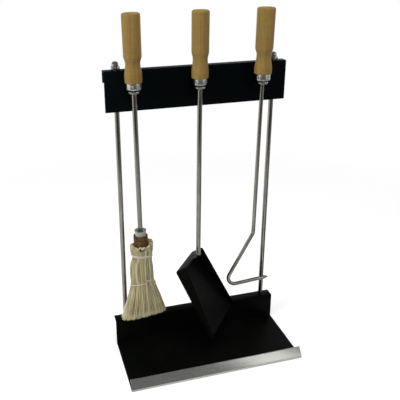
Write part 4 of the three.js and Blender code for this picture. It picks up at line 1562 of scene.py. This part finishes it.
@dataclass
class Broom(Tool):
    """The hand broom: rod, socket, wooden stock and bound bristles."""

    name: str = "broom"
    rod_diameter: float = 8
    lean: float = 0.8
    turn: float = 6
    shoulder_diameter: float = 26.6
    bulge_diameter: float = 27
    grip_rise: float = 40
    socket_top: float = -230.7
    socket_height: float = 8.8
    socket_diameter: float = 18.6
    socket_wall: float = 1
    socket_rim: float = 20.4
    socket_flare: float = 4
    socket_recess: float = 3.2
    socket_throat: float = 12.4
    socket_play: float = 0.3
    stock_diameter: float = 24
    stock_height: float = 21.3
    stock_edge: float = 1
    stock_tenon_diameter: float = 16
    stock_tenon_length: float = 22
    rod_foot: float = -246.9
    neck_drop: float = 18.5
    waist_drop: float = 67.6
    waist_width: float = 41
    waist_depth: float = 20
    foot_drop: float = 134
    foot_width: float = 82
    foot_depth: float = 25
    crown: float = 7
    strand_radius: float = 0.42
    clumps: int = 44
    inner_count: int = 1000
    inner_length: float = 24
    loop_count: int = 620
    loop_rise: float = 1.2
    ears: Point = (8.8, 5.6)
    frayed: float = 9
    frayed_paler: float = 0.45
    grid: float = 6
    shares: int = 128
    squareness: float = 2.2
    # Sections of the bundle above the waist: drop, width to the left and right, half depth.
    upper_sections: tuple[tuple[float, float, float, float], ...] = (
        (-7, 14, 15.5, 7.5),
        (-5.5, 16.8, 18.6, 10),
        (-2.5, 18.8, 21, 12.2),
        (2, 19, 21.2, 12.8),
        (9.5, 18.3, 20, 11.8),
        (16, 15.7, 18.3, 10.5),
        (21, 15.8, 18.1, 10.5),
        (29, 19.6, 18, 10.8),
        (40, 21.2, 19.2, 11.2),
        (55, 21.4, 20, 10.7),
    )
    core_inset: float = 1.5
    core_drops: tuple[float, ...] = (-2.5, 0, 5, 9.5, 16, 18.5, 21, 29, 40, 55, 67.6, 80, 92, 104, 116, 126)
    strand_drops: tuple[float, ...] = (9.5, 16, 21, 29, 40, 54, 66, 69.2, 84, 101, 118)
    # Patches of straw: place and width as shares of the way round, what they add to tone and tint. The broad
    # ones are straw colour; the narrow dark ones are painted shade between clumps.
    patches: tuple[tuple[float, float, float, float], ...] = (
        (0.6, 0.05, 0.05, 0.25),
        (0.715, 0.014, -0.22, -0.2),
        (0.765, 0.02, 0.06, 0.2),
        (0.82, 0.012, -0.16, -0.1),
        (0.88, 0.05, -0.04, -0.25),
    )
    eye_heading: float = -98
    eye_width: float = 22
    # Arches at the crown: heading in degrees, width, height, how many strands.
    arch_rows: tuple[tuple[float, float, float, int], ...] = (
        (-111, 5.6, 5.2, 12),
        (-86, 5.4, 4.6, 12),
        (-60, 6, 2.8, 12),
        (-140, 7, 3, 14),
        (70, 8, 4, 16),
        (110, 8, 4, 16),
    )
    arch_reach: float = 12.9
    arch_tuck: float = 1.5
    neck_cord: Winding = Winding(stops=((70, 16.8), (790, 20.2)), thick=1.9, inset=-0.2, tilt=2.4)
    waist_thread: Winding = Winding(
        stops=((-82, 62.5), (-60, 64.5), (0, 72), (90, 71), (180, 69.5), (235, 68.4), (276, 67.4)),
        thick=1.4,
        inset=-0.4,
    )
    waist_thread_end: Winding = Winding(stops=((-28, 69.5), (-8, 73), (2, 77)), thick=1.1, inset=-0.5)

    @property
    def stock_foot(self) -> float:
        """Height of the stock's foot."""
        return self.socket_top - self.socket_height - self.stock_height

    def rod(self) -> None:
        """The rod, down into the stock."""
        piece = Bench.bar("broom_bar", self.rod_diameter, self.rod_foot, self.rod_top)
        self.hang(piece, Slot.POLISHED_STEEL, self.finishes.bar, "broom_rod")

    def socket(self) -> None:
        """The metal socket: its mouth flares out to a rim, and narrows inside to a dark throat."""
        outer, top, rim = self.socket_diameter / 2, self.socket_top, self.socket_rim / 2
        inner, floor, flare = outer - self.socket_wall, top - self.socket_recess, top - self.socket_flare
        hole = self.rod_diameter / 2 + 1.0
        foot = top - self.socket_height
        edge = 0.35
        low = top - edge
        outline = [(hole, floor - 1), (inner, floor - 1), (inner, foot), (inner + 0.3, foot)]
        outline += [(outer, foot + 0.3), (outer, flare)]
        outline += curve([(outer, flare), (outer, (flare + top) / 2), (rim, low)], 6)
        outline += arc((rim - edge, low), edge, 0, 90, 4)[1:] + [(rim - 0.9, top), (rim - 1.2, low)]
        throat = (self.socket_throat / 2 + 1, floor)
        outline += curve([(rim - 1.2, low), throat, (hole + 0.5, floor - 0.3)], 6)
        outline += [(hole, floor - 0.6), (hole, floor - 1)]
        piece = Bench.turned("broom_cup", outline)
        self.hang(piece, Slot.ZINC_STEEL, self.finishes.zinc, "broom_socket")

    def stock(self) -> None:
        """The turned stock, from its spigot in the socket to its tenon in the bristles."""
        spigot = self.socket_diameter / 2 - self.socket_wall - self.socket_play
        top = self.socket_top - self.socket_height
        radius, foot, edge = self.stock_diameter / 2, self.stock_foot, self.stock_edge
        under = self.socket_top - self.socket_recess - self.socket_wall - self.socket_play
        tenon, end = self.stock_tenon_diameter / 2, foot - self.stock_tenon_length
        outline = [(0, under), (spigot, under), (spigot, top)]
        outline += arc((radius - edge, top - edge), edge, 90, 0, 5)
        outline += [(radius, (top + foot) / 2)] + arc((radius - edge, foot + edge), edge, 0, -90, 5)
        outline += [(tenon, foot), (tenon, end), (0, end)]
        piece = Bench.turned("broom_block", outline)
        self.hang(piece, Slot.DARK_WOOD, self.finishes.stained, "broom_stock")

    @cached_property
    def sections(self) -> list[tuple[float, ...]]:
        """The bundle's drop, width to each side, half depth and squareness, from crown to foot.

        Returns:
            One row for each station, in millimetres.
        """
        half_width, half_depth = self.waist_width / 2, self.waist_depth / 2
        rows = [*self.upper_sections, (self.waist_drop, half_width, half_width, half_depth)]
        rows = [(*row, self.squareness) for row in rows]
        for part in (0.15, 0.3, 0.5, 0.65, 0.82, 1):
            drop = self.waist_drop + (self.foot_drop - self.waist_drop) * part
            spread = (self.waist_width + (self.foot_width - self.waist_width) * part**1.15) / 2
            depth = (self.waist_depth + (self.foot_depth - self.waist_depth) * part) / 2
            right = spread + 1.5 * math.sin(math.pi * part)
            rows.append((drop, spread, right, depth, self.squareness + part))
        return rows

    def section(self, drop: float) -> tuple[float, ...]:
        """The bundle's section at a drop.

        Args:
            drop: Below the stock's foot, in millimetres.

        Returns:
            Width to the left, to the right, half depth and squareness.
        """
        rows = self.sections
        drop = clamp(drop, rows[0][0], rows[-1][0])
        low, high = next(pair for pair in zip(rows, rows[1:]) if drop <= pair[1][0])
        share = (drop - low[0]) / (high[0] - low[0])
        return tuple(a + (b - a) * share for a, b in zip(low[1:], high[1:]))

    @cached_property
    def even(self) -> list[list[float]]:
        """The angles that share the bundle's outline out evenly, from crown to foot.

        Returns:
            A row of angles in radians for each step of the grid.
        """
        rows = []
        steps, shares = 360, self.shares
        for k in range(math.ceil((self.foot_drop + self.crown) / self.grid) + 1):
            drop = k * self.grid - self.crown
            angles = [2 * math.pi * i / steps for i in range(steps + 1)]
            points = [self.on_bundle(angle, drop, 0) for angle in angles]
            reach = [0.0]
            for one, other in zip(points, points[1:]):
                reach.append(reach[-1] + (other - one).length)
            row, i = [], 0
            for share in range(shares + 1):
                while i < steps - 1 and reach[i + 1] < reach[-1] * share / shares:
                    i += 1
                part = (reach[-1] * share / shares - reach[i]) / max(reach[i + 1] - reach[i], 1e-6)
                row.append(angles[i] + part * (angles[i + 1] - angles[i]))
            rows.append(row)
        return rows

    def along(self, share: float, drop: float, inset: float) -> Vector:
        """A point of the bundle, by its share of the way round the outline.

        Args:
            share: How far round, from 0 to 1, starting at +X.
            drop: Below the stock's foot, in millimetres.
            inset: How far inside the bundle's surface, in millimetres.

        Returns:
            The point in the tool's frame, in millimetres.
        """
        share -= math.floor(share)
        row = clamp((drop + self.crown) / self.grid, 0, len(self.even) - 1.001)
        column = share * self.shares
        low, left = int(row), min(int(column), self.shares - 1)
        pairs = [self.even[k][left : left + 2] for k in (low, low + 1)]
        upper, lower = (one + (other - one) * (column - left) for one, other in pairs)
        return self.on_bundle(upper + (lower - upper) * (row - low), drop, inset)

    def on_bundle(self, angle: float, drop: float, inset: float) -> Vector:
        """A point of the bundle.

        Args:
            angle: Round the bundle, in radians, from +X towards +Y.
            drop: Below the stock's foot, in millimetres.
            inset: How far inside the bundle's surface, in millimetres.

        Returns:
            The point in the tool's frame, in millimetres.
        """
        left, right, half_depth, flat = self.section(drop)
        cos, sin = math.cos(angle), math.sin(angle)
        half_width = right if cos > 0 else left
        x = math.copysign(abs(cos) ** (2 / flat), cos) * max(half_width - inset, 0.5)
        y = math.copysign(abs(sin) ** (2 / flat), sin) * max(half_depth - inset, 0.5)
        return Vector((x, y, self.stock_foot - drop))

    def core(self) -> None:
        """The packed fibres inside, seen between the outer strands, in darkened straw colours that are
        painted shade.
        """
        piece = Bench.disc("broom_core", 1, 48, 0)
        last = (1.0, 1.0)
        height = 0.0
        for k, drop in enumerate(self.core_drops):
            left, right, half_depth, _ = self.section(drop)
            size = (min(left, right) - self.core_inset, half_depth - self.core_inset)
            target = (self.stock_foot - drop) * MM
            if k:
                bpy.ops.mesh.extrude_region_move(TRANSFORM_OT_translate={"value": (0, 0, target - height)})
            else:
                bpy.ops.transform.translate(value=(0, 0, target))
            height = target
            growth = (size[0] / last[0], size[1] / last[1], 1)
            bpy.ops.transform.resize(value=growth, center_override=(0, 0, height))
            last = size
        Bench.tidy_mesh()
        Bench.done()
        self.hang(piece, Slot.PLANT_FIBRE, self.finishes.packed, angle=60)

    def strands(self, name: str, rows: Sequence[Strand], *nodes: str, frayed: float = 0) -> None:
        """Makes one mesh of strands, each half as thick at its end, with their tone and tint, and hangs it.

        Args:
            name: The new piece's name.
            rows: The strands.
            nodes: The CAD nodes that they stand for.
            frayed: Length over which their ends pale, in millimetres.
        """
        lines = []
        for row in rows:
            *upper, end = row.points
            lines.append([(point, row.radius) for point in upper] + [(end, row.radius / 2)])
        piece = Bench.cords(name, lines, 0)
        Bench.edit(piece)
        Bench.tidy_mesh()
        Bench.done()
        groups = self.strand_of_vertex(piece.data)
        assert max(groups) + 1 == len(rows), (max(groups) + 1, len(rows))
        tones = []
        for group, vertex in zip(groups, piece.data.vertices):
            above = vertex.co.z / MM - rows[group].points[-1].z
            paler = max(0.0, 1 - above / frayed) ** 0.7 if frayed else 0.0
            tones.append(min(rows[group].tone + self.frayed_paler * paler, 1.0))
        tints = [rows[group].tint for group in groups]
        for key, values in (("tone", tones), ("tint", tints)):
            piece.data.attributes.new(key, "FLOAT", "POINT").data.foreach_set("value", values)
        self.hang(piece, Slot.PLANT_FIBRE, self.finishes.strands, *nodes, angle=70)

    @staticmethod
    def strand_of_vertex(mesh: bpy.types.Mesh) -> list[int]:
        """Finds the strand that each vertex belongs to.

        Args:
            mesh: A mesh of strands that don't touch.

        Returns:
            A number for each vertex, in the order in which strands begin.
        """
        parent = list(range(len(mesh.vertices)))

        def root(index: int) -> int:
            """Follows a vertex to the start of its strand.

            Args:
                index: The vertex.

            Returns:
                The first vertex of its strand.
            """
            while parent[index] != index:
                parent[index] = parent[parent[index]]
                index = parent[index]
            return index

        for edge in mesh.edges:
            one, other = sorted(root(v) for v in edge.vertices)
            parent[other] = one
        numbers: dict[int, int] = {}
        return [numbers.setdefault(root(index), len(numbers)) for index in range(len(parent))]

    def patch(self, share: float) -> tuple[float, float]:
        """What the broader patches of straw add to a strand: straw colour, and painted shade from the narrow
        dark ones.

        Args:
            share: How far round the bundle, from 0 to 1.

        Returns:
            What is added to the tone and to the tint.
        """
        weights = [math.exp(-(((share - place) / width) ** 2)) for place, width, _, _ in self.patches]
        tone = sum(weight * row[2] for weight, row in zip(weights, self.patches))
        return tone, sum(weight * row[3] for weight, row in zip(weights, self.patches))

    def at_eye(self, x: float, y: float) -> bool:
        """Says whether a place round the crown lies where the eyes are."""
        return abs(math.degrees(math.atan2(y, x)) - self.eye_heading) < self.eye_width

    def layer(
        self, name: str, *nodes: str, seed: int, count: int, depth: float = 0.0, shade: float = 0.0
    ) -> None:
        """A layer of long strands in clumps, from the crown to the frayed tips.

        Args:
            name: The new piece's name.
            nodes: The CAD nodes that it stands for.
            seed: Seed of its random numbers.
            count: How many strands it has.
            depth: How far inside the bundle's outline it lies, in millimetres.
            shade: Added to the strands' tones; a negative one is painted shade for a layer that lies under
                others.
        """
        rng = random.Random(seed)
        clumps = self.clumps
        span = self.waist_drop - self.neck_drop
        centres = [(k + rng.uniform(-0.32, 0.32)) / clumps for k in range(clumps)]
        tones = [clamp(rng.gauss(0.6, 0.19), 0.15, 0.95) for _ in range(clumps)]
        tints = [rng.gauss(0.5, 0.24) for _ in range(clumps)]
        leans = [rng.gauss(0, 0.006) for _ in range(clumps)]
        sways = [rng.gauss(0, 0.009) for _ in range(clumps)]
        rows = []
        for _ in range(count):
            clump = rng.randrange(clumps)
            offset = rng.gauss(0, 1)
            share = centres[clump] + 0.0085 * offset
            stray = rng.random() < 0.06
            inset = depth + 0.45 + abs(rng.gauss(0, 0.7)) - (0.35 if stray else 0)
            # darker holds straw colour from the broad patches and painted shade from the narrow dark ones.
            darker, greener = self.patch(share)
            # Strands far from their clump's centre are darkened by 0.07 * offset**2: painted shade in the
            # gaps between clumps.
            tone = rng.gauss(tones[clump], 0.2) + shade + darker - 0.07 * offset**2 + (0.2 if stray else 0)
            end = self.foot_drop - abs(rng.gauss(0, 3.4)) - (rng.random() < 0.1) * rng.uniform(2, 10)
            start = rng.uniform(-self.crown + 4.5, 4)
            crown = self.along(share, 2, 0)
            if self.at_eye(crown.x, crown.y):
                start = rng.uniform(4.5, 7)
            drift = rng.gauss(leans[clump], 0.012 if stray else 0.005)
            wave, phase = rng.uniform(0.2, 0.8), rng.uniform(0, 6.28)
            points = []
            for drop in (start, *self.strand_drops, end):
                loose = min(min(abs(drop - self.neck_drop), abs(drop - self.waist_drop)) / 30, 1)
                away = share + drift * max(0, drop - self.waist_drop) / 65
                away += 0.0035 * loose * math.sin(phase + drop / 17)
                if self.neck_drop < drop < self.waist_drop:
                    away += (sways[clump] + drift) * math.sin(math.pi * (drop - self.neck_drop) / span)
                sunk = inset + loose * wave * math.sin(phase + drop / 27)
                points.append(self.along(away, drop, max(0.4, sunk)))
            radius = self.strand_radius * rng.uniform(0.7, 1.25)
            tint = rng.gauss(tints[clump], 0.12) + greener
            rows.append(Strand(points, radius, clamp(tone), tint))
        self.strands(name, rows, *nodes, frayed=self.frayed)

    def inner_strands(self) -> None:
        """Short strands that fill the foot, so that it ends in tips and not in a face."""
        rng = random.Random(7)
        rows = []
        for _ in range(self.inner_count):
            side = rng.random()
            inwards = math.sqrt(rng.random())
            start, end = self.foot_drop - self.inner_length, self.foot_drop - 0.5 - abs(rng.gauss(0, 2.6))
            points = []
            for k in range(4):
                edge = self.along(side, start + (end - start) * k / 3, 0.7)
                points.append(Vector((edge.x * inwards, edge.y * inwards, edge.z)))
            # Their tone is lower than the outer strands': painted shade inside the foot.
            tone = clamp(rng.gauss(0.4, 0.2))
            rows.append(Strand(points, 0.5 * rng.uniform(0.7, 1.2), tone, rng.gauss(0.5, 0.2)))
        self.strands("broom_inner_straws", rows, frayed=7)

    def loops(self) -> None:
        """The fibres that are folded over at the crown, in ears beside the stock and low before it."""
        rng = random.Random(19)
        rows = []
        wood = self.stock_diameter / 2 + 0.9
        for _ in range(self.loop_count):
            angle = rng.uniform(0, 2 * math.pi)
            cos, sin = math.cos(angle), math.sin(angle)
            if self.at_eye(cos, sin):
                continue
            layer = rng.random() ** 1.3
            ear = self.ears[0] if cos > 0 else self.ears[1]
            top = self.loop_rise + (ear - self.loop_rise) * abs(cos) ** 2.2
            top = top * rng.uniform(0.86, 1.04) - 2.6 * layer * abs(cos)
            outer = self.on_bundle(angle, 4, 0.4 + 2.4 * layer)
            far = Vector((outer.x, outer.y)).length
            near = min(wood + 1.3 * layer, far - 0.9)
            centre, half = (far + near) / 2, (far - near) / 2
            rise = max(min(half, 2.6), 0.6)
            points = [self.on_bundle(angle, self.neck_drop - 3, 0.5 + 1.5 * layer)]
            points.append(self.on_bundle(angle, 9, 0.4 + 2 * layer))
            for k in range(9):
                turn = math.pi * k / 8
                reach = centre + half * math.cos(turn)
                height = top - rise + rise * math.sin(turn)
                points.append(Vector((cos * reach, sin * reach, self.stock_foot + height)))
            points.append(Vector((cos * near, sin * near, self.stock_foot - 2.5)))
            # Deeper loops are darker by 0.35 * layer: painted shade under the outer loops.
            tone = clamp(rng.gauss(0.7 - 0.35 * layer, 0.14))
            rows.append(Strand(points, 0.44 * rng.uniform(0.75, 1.25), tone, rng.gauss(0.5, 0.2)))
        self.strands("broom_crown_loops", rows)

    def arches(self) -> None:
        """Loops that lie flat against the stock's foot, each an arch with a dark eye."""
        rng = random.Random(5)
        rows = []
        for heading, width, height, count in self.arch_rows:
            for _ in range(count):
                layer = rng.random()
                half = width / 2 - 1.1 * layer
                tall = height - 1.1 * layer
                base = math.radians(heading + rng.gauss(0, 1.5))
                points = []
                for k in range(11):
                    turn = math.pi * (1.25 - 1.5 * k / 10)
                    sideways = half * math.cos(turn)
                    up = (tall - half) + half * math.sin(turn) - 0.6
                    out = self.arch_reach + 1.2 * layer * abs(math.sin(turn)) + rng.uniform(0, 0.3)
                    if up < 0:
                        out -= self.arch_tuck * min(-up / 6, 1)
                    angle = base + sideways / out
                    level = self.stock_foot + up
                    points.append(Vector((math.cos(angle) * out, math.sin(angle) * out, level)))
                tone = clamp(rng.gauss(0.85 - 0.3 * layer, 0.1))
                rows.append(Strand(points, 0.4 * rng.uniform(0.8, 1.2), tone, rng.gauss(0.55, 0.15)))
        self.strands("broom_crown_arches", rows)

    def wound(self, name: str, way: Winding, *nodes: str) -> None:
        """A cord wound round the bundle.

        Args:
            name: The new piece's name.
            way: How it is wound.
            nodes: The CAD nodes that it stands for.
        """
        rng = random.Random(len(name))
        start, end = way.stops[0][0], way.stops[-1][0]
        count = round((end - start) / 5)
        route = []
        for k in range(count + 1):
            heading = start + (end - start) * k / count
            angle = math.radians(heading)
            here = way.drop(heading) + 0.15 * math.sin(angle * 3) + rng.uniform(-0.05, 0.05)
            sunk = way.inset + (0.8 if k in (0, count) else 0) + rng.uniform(-0.08, 0.08)
            route.append(self.on_bundle(angle, here, sunk))
        LOG.info("%s: %.0f mm long", name, sum((b - a).length for a, b in zip(route, route[1:])))
        piece = Bench.cords(name, [[(point, way.thick / 2) for point in route]], 3)
        self.hang(piece, Slot.BINDING_CORD, self.finishes.cord, *nodes, angle=60)

    def build(self) -> None:
        """Builds and dresses the broom."""
        self.top_end()
        self.rod()
        self.socket()
        self.stock()
        self.core()
        # shade=-0.34 darkens the under layer: painted shade beneath the outer strands.
        self.layer("broom_under_straws", seed=3, count=700, depth=1.3, shade=-0.34)
        self.layer("broom_straws", "broom_bristles", seed=41, count=1100)
        self.inner_strands()
        self.loops()
        self.arches()
        self.wound("neck_cord", self.neck_cord, "broom_neck_binding")
        self.wound("waist_thread", self.waist_thread, "broom_waist_binding")
        self.wound("waist_thread_end", self.waist_thread_end)


# ---------------------------------------------------------------- studio


@dataclass(frozen=True)
class Mat:
    """A mat on the floor: its corners in millimetres, and its grey next to the set and away from it."""

    name: str
    corners: tuple[Point, ...]
    near: float
    far: float


@dataclass(frozen=True)
class Lamp:
    """A soft box: its place and size in metres, its power in watts, and whether reflections show it."""

    name: str
    at: Triple
    size: Point
    watts: float
    mirrored: bool = False


@dataclass
class Studio:
    """Floor, backdrop, lamps and camera."""

    floor_drop: float = 0.0004
    floor_glow: float = 0.35
    room: float = 0.22
    mats: tuple[Mat, ...] = (
        Mat("front_mat", ((-474, 60), (200, -200), (5415, -10750), (-10041, -6638)), 0.66, 0.02),
        Mat("side_mat", ((200, -200), (5415, -10750), (11000, 500), (200, 120)), 0.2, 0.5),
    )
    mat_fade: Point = (0.6, 1.4)
    mat_height: float = 1
    lamps: tuple[Lamp, ...] = (
        Lamp("left_box", (-1.7, -0.45, 1.0), (0.9, 1.3), 27),
        Lamp("right_box", (1.1, -1.3, 1.12), (0.62, 1.7), 4.2, mirrored=True),
        Lamp("top_box", (0.1, -0.3, 1.9), (1.2, 1.2), 22),
    )
    lit_point: Triple = (0, 0, 0.25)
    view_from: Triple = (-0.28647, -0.79434, 0.66713)
    view_along: Triple = (0.2427, 0.9007, -0.3602)
    view_roll: float = -0.75
    lens: float = 51.76
    lens_shift: Point = (0.0894, -0.0776)

    def floor(self) -> None:
        """A plain pale floor that keeps the set's shadow."""
        bpy.ops.object.select_all(action="DESELECT")
        bpy.ops.mesh.primitive_plane_add(size=24, location=(0, 0, -self.floor_drop))
        piece = Bench.fresh("studio_floor")
        desk = Paint("pale_floor")
        at = desk.place()
        soft = desk.noise(at, 3, 2)
        straight, glossy, through = desk.rays()
        desk.coat(
            Base_Color=desk.mix(soft, (0.8, 0.8, 0.8), (0.84, 0.84, 0.84)),
            Roughness=0.9,
            Specular_IOR_Level=0.1,
            Emission_Color=desk.mix(straight + through, (0, 0, 0), (1, 1, 1)),
            Emission_Strength=self.floor_glow,
        )
        white = desk.node("ShaderNodeEmission", {}, {"Color": (1, 1, 1), "Strength": 1.0})
        far = (straight + glossy + through) * desk.between(desk.reach(at), 0.35, 1.1)
        pale = Signal(desk, desk.shader.outputs[0])
        blend = desk.node("ShaderNodeMixShader", {}, {0: far, 1: pale, 2: white})
        desk.plug(desk.output.inputs["Surface"], blend)
        piece.data.materials.append(desk.material)

    def world(self) -> None:
        """White to the camera; to reflections, white low down behind the set and a dim room elsewhere."""
        world = bpy.data.worlds.new("studio")
        world.use_nodes = True
        bpy.context.scene.world = world
        desk = Desk(world.node_tree)
        toward = desk.node("ShaderNodeTexCoord", {}, {}, "Generated")
        ahead = desk.node("ShaderNodeSeparateXYZ", {}, {0: toward}, "Y")
        height = desk.node("ShaderNodeSeparateXYZ", {}, {0: toward}, "Z")
        level = desk.node("ShaderNodeMath", {"operation": "ABSOLUTE"}, {0: height})
        backdrop = desk.between(level, 0.22, 0.45, 1, 0) * desk.between(ahead, -0.75, -0.25)
        straight, glossy, through = desk.rays()
        seen = desk.node("ShaderNodeBackground", {}, {"Color": (1, 1, 1), "Strength": 1.0})
        lit = desk.node("ShaderNodeBackground", {}, {"Color": (1, 1, 1), "Strength": self.room})
        shown = straight + through + glossy * backdrop
        blend = desk.node("ShaderNodeMixShader", {}, {0: shown, 1: lit, 2: seen})
        desk.node("ShaderNodeOutputWorld", {}, {"Surface": blend}, None)

    def lay(self, mat: Mat) -> None:
        """Lays a mat on the floor that only reflections see.

        Args:
            mat: The mat.
        """
        piece = Bench.chain(mat.name, [(x, y, self.mat_height) for x, y in mat.corners])
        bpy.ops.mesh.edge_face_add()
        Bench.done()
        paint = Paint(mat.name)
        away = paint.between(paint.reach(paint.place()), *self.mat_fade)
        paint.coat(Base_Color=paint.mix(away, (mat.near,) * 3, (mat.far,) * 3), Roughness=0.9)
        piece.data.materials.append(paint.material)
        piece.visible_camera = False
        piece.visible_diffuse = False
        piece.visible_shadow = False

    def hang_lamp(self, lamp: Lamp) -> None:
        """Adds a lamp that looks at the set's middle.

        Args:
            lamp: The lamp.
        """
        data = bpy.data.lights.new(lamp.name, "AREA")
        data.shape = "RECTANGLE"
        data.size, data.size_y = lamp.size
        data.energy = lamp.watts
        piece = bpy.data.objects.new(lamp.name, data)
        bpy.context.scene.collection.objects.link(piece)
        piece.location = lamp.at
        look = Vector(self.lit_point) - Vector(lamp.at)
        piece.rotation_euler = look.to_track_quat("-Z", "Y").to_euler()
        piece.visible_glossy = lamp.mirrored

    def camera(self) -> None:
        """The camera."""
        data = bpy.data.cameras.new("view")
        piece = bpy.data.objects.new("view", data)
        bpy.context.scene.collection.objects.link(piece)
        forward = Vector(self.view_along).normalized()
        flat = Vector((forward.y, -forward.x, 0)).normalized()
        above = flat.cross(forward)
        roll = math.radians(self.view_roll)
        right = flat * math.cos(roll) + above * math.sin(roll)
        up = above * math.cos(roll) - flat * math.sin(roll)
        turn = Matrix((right, up, -forward)).transposed().to_4x4()
        piece.matrix_world = Matrix.Translation(self.view_from) @ turn
        data.sensor_width = 36
        data.lens = self.lens
        data.shift_x, data.shift_y = self.lens_shift
        data.clip_start, data.clip_end = 0.05, 50
        bpy.context.scene.camera = piece

    def build(self) -> None:
        """Sets the studio up."""
        self.floor()
        self.world()
        for mat in self.mats:
            self.lay(mat)
        for lamp in self.lamps:
            self.hang_lamp(lamp)
        self.camera()
        bpy.context.scene.view_settings.view_transform = "Standard"


def main() -> None:
    """Builds the set in order, then the studio."""
    logging.basicConfig(level=logging.INFO, format="%(message)s")
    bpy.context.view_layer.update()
    finishes = Finishes()
    Stand(finishes).build()
    Broom(finishes).build()
    Shovel(finishes).build()
    Poker(finishes).build()
    Studio().build()


if __name__ == "__main__":
    main()
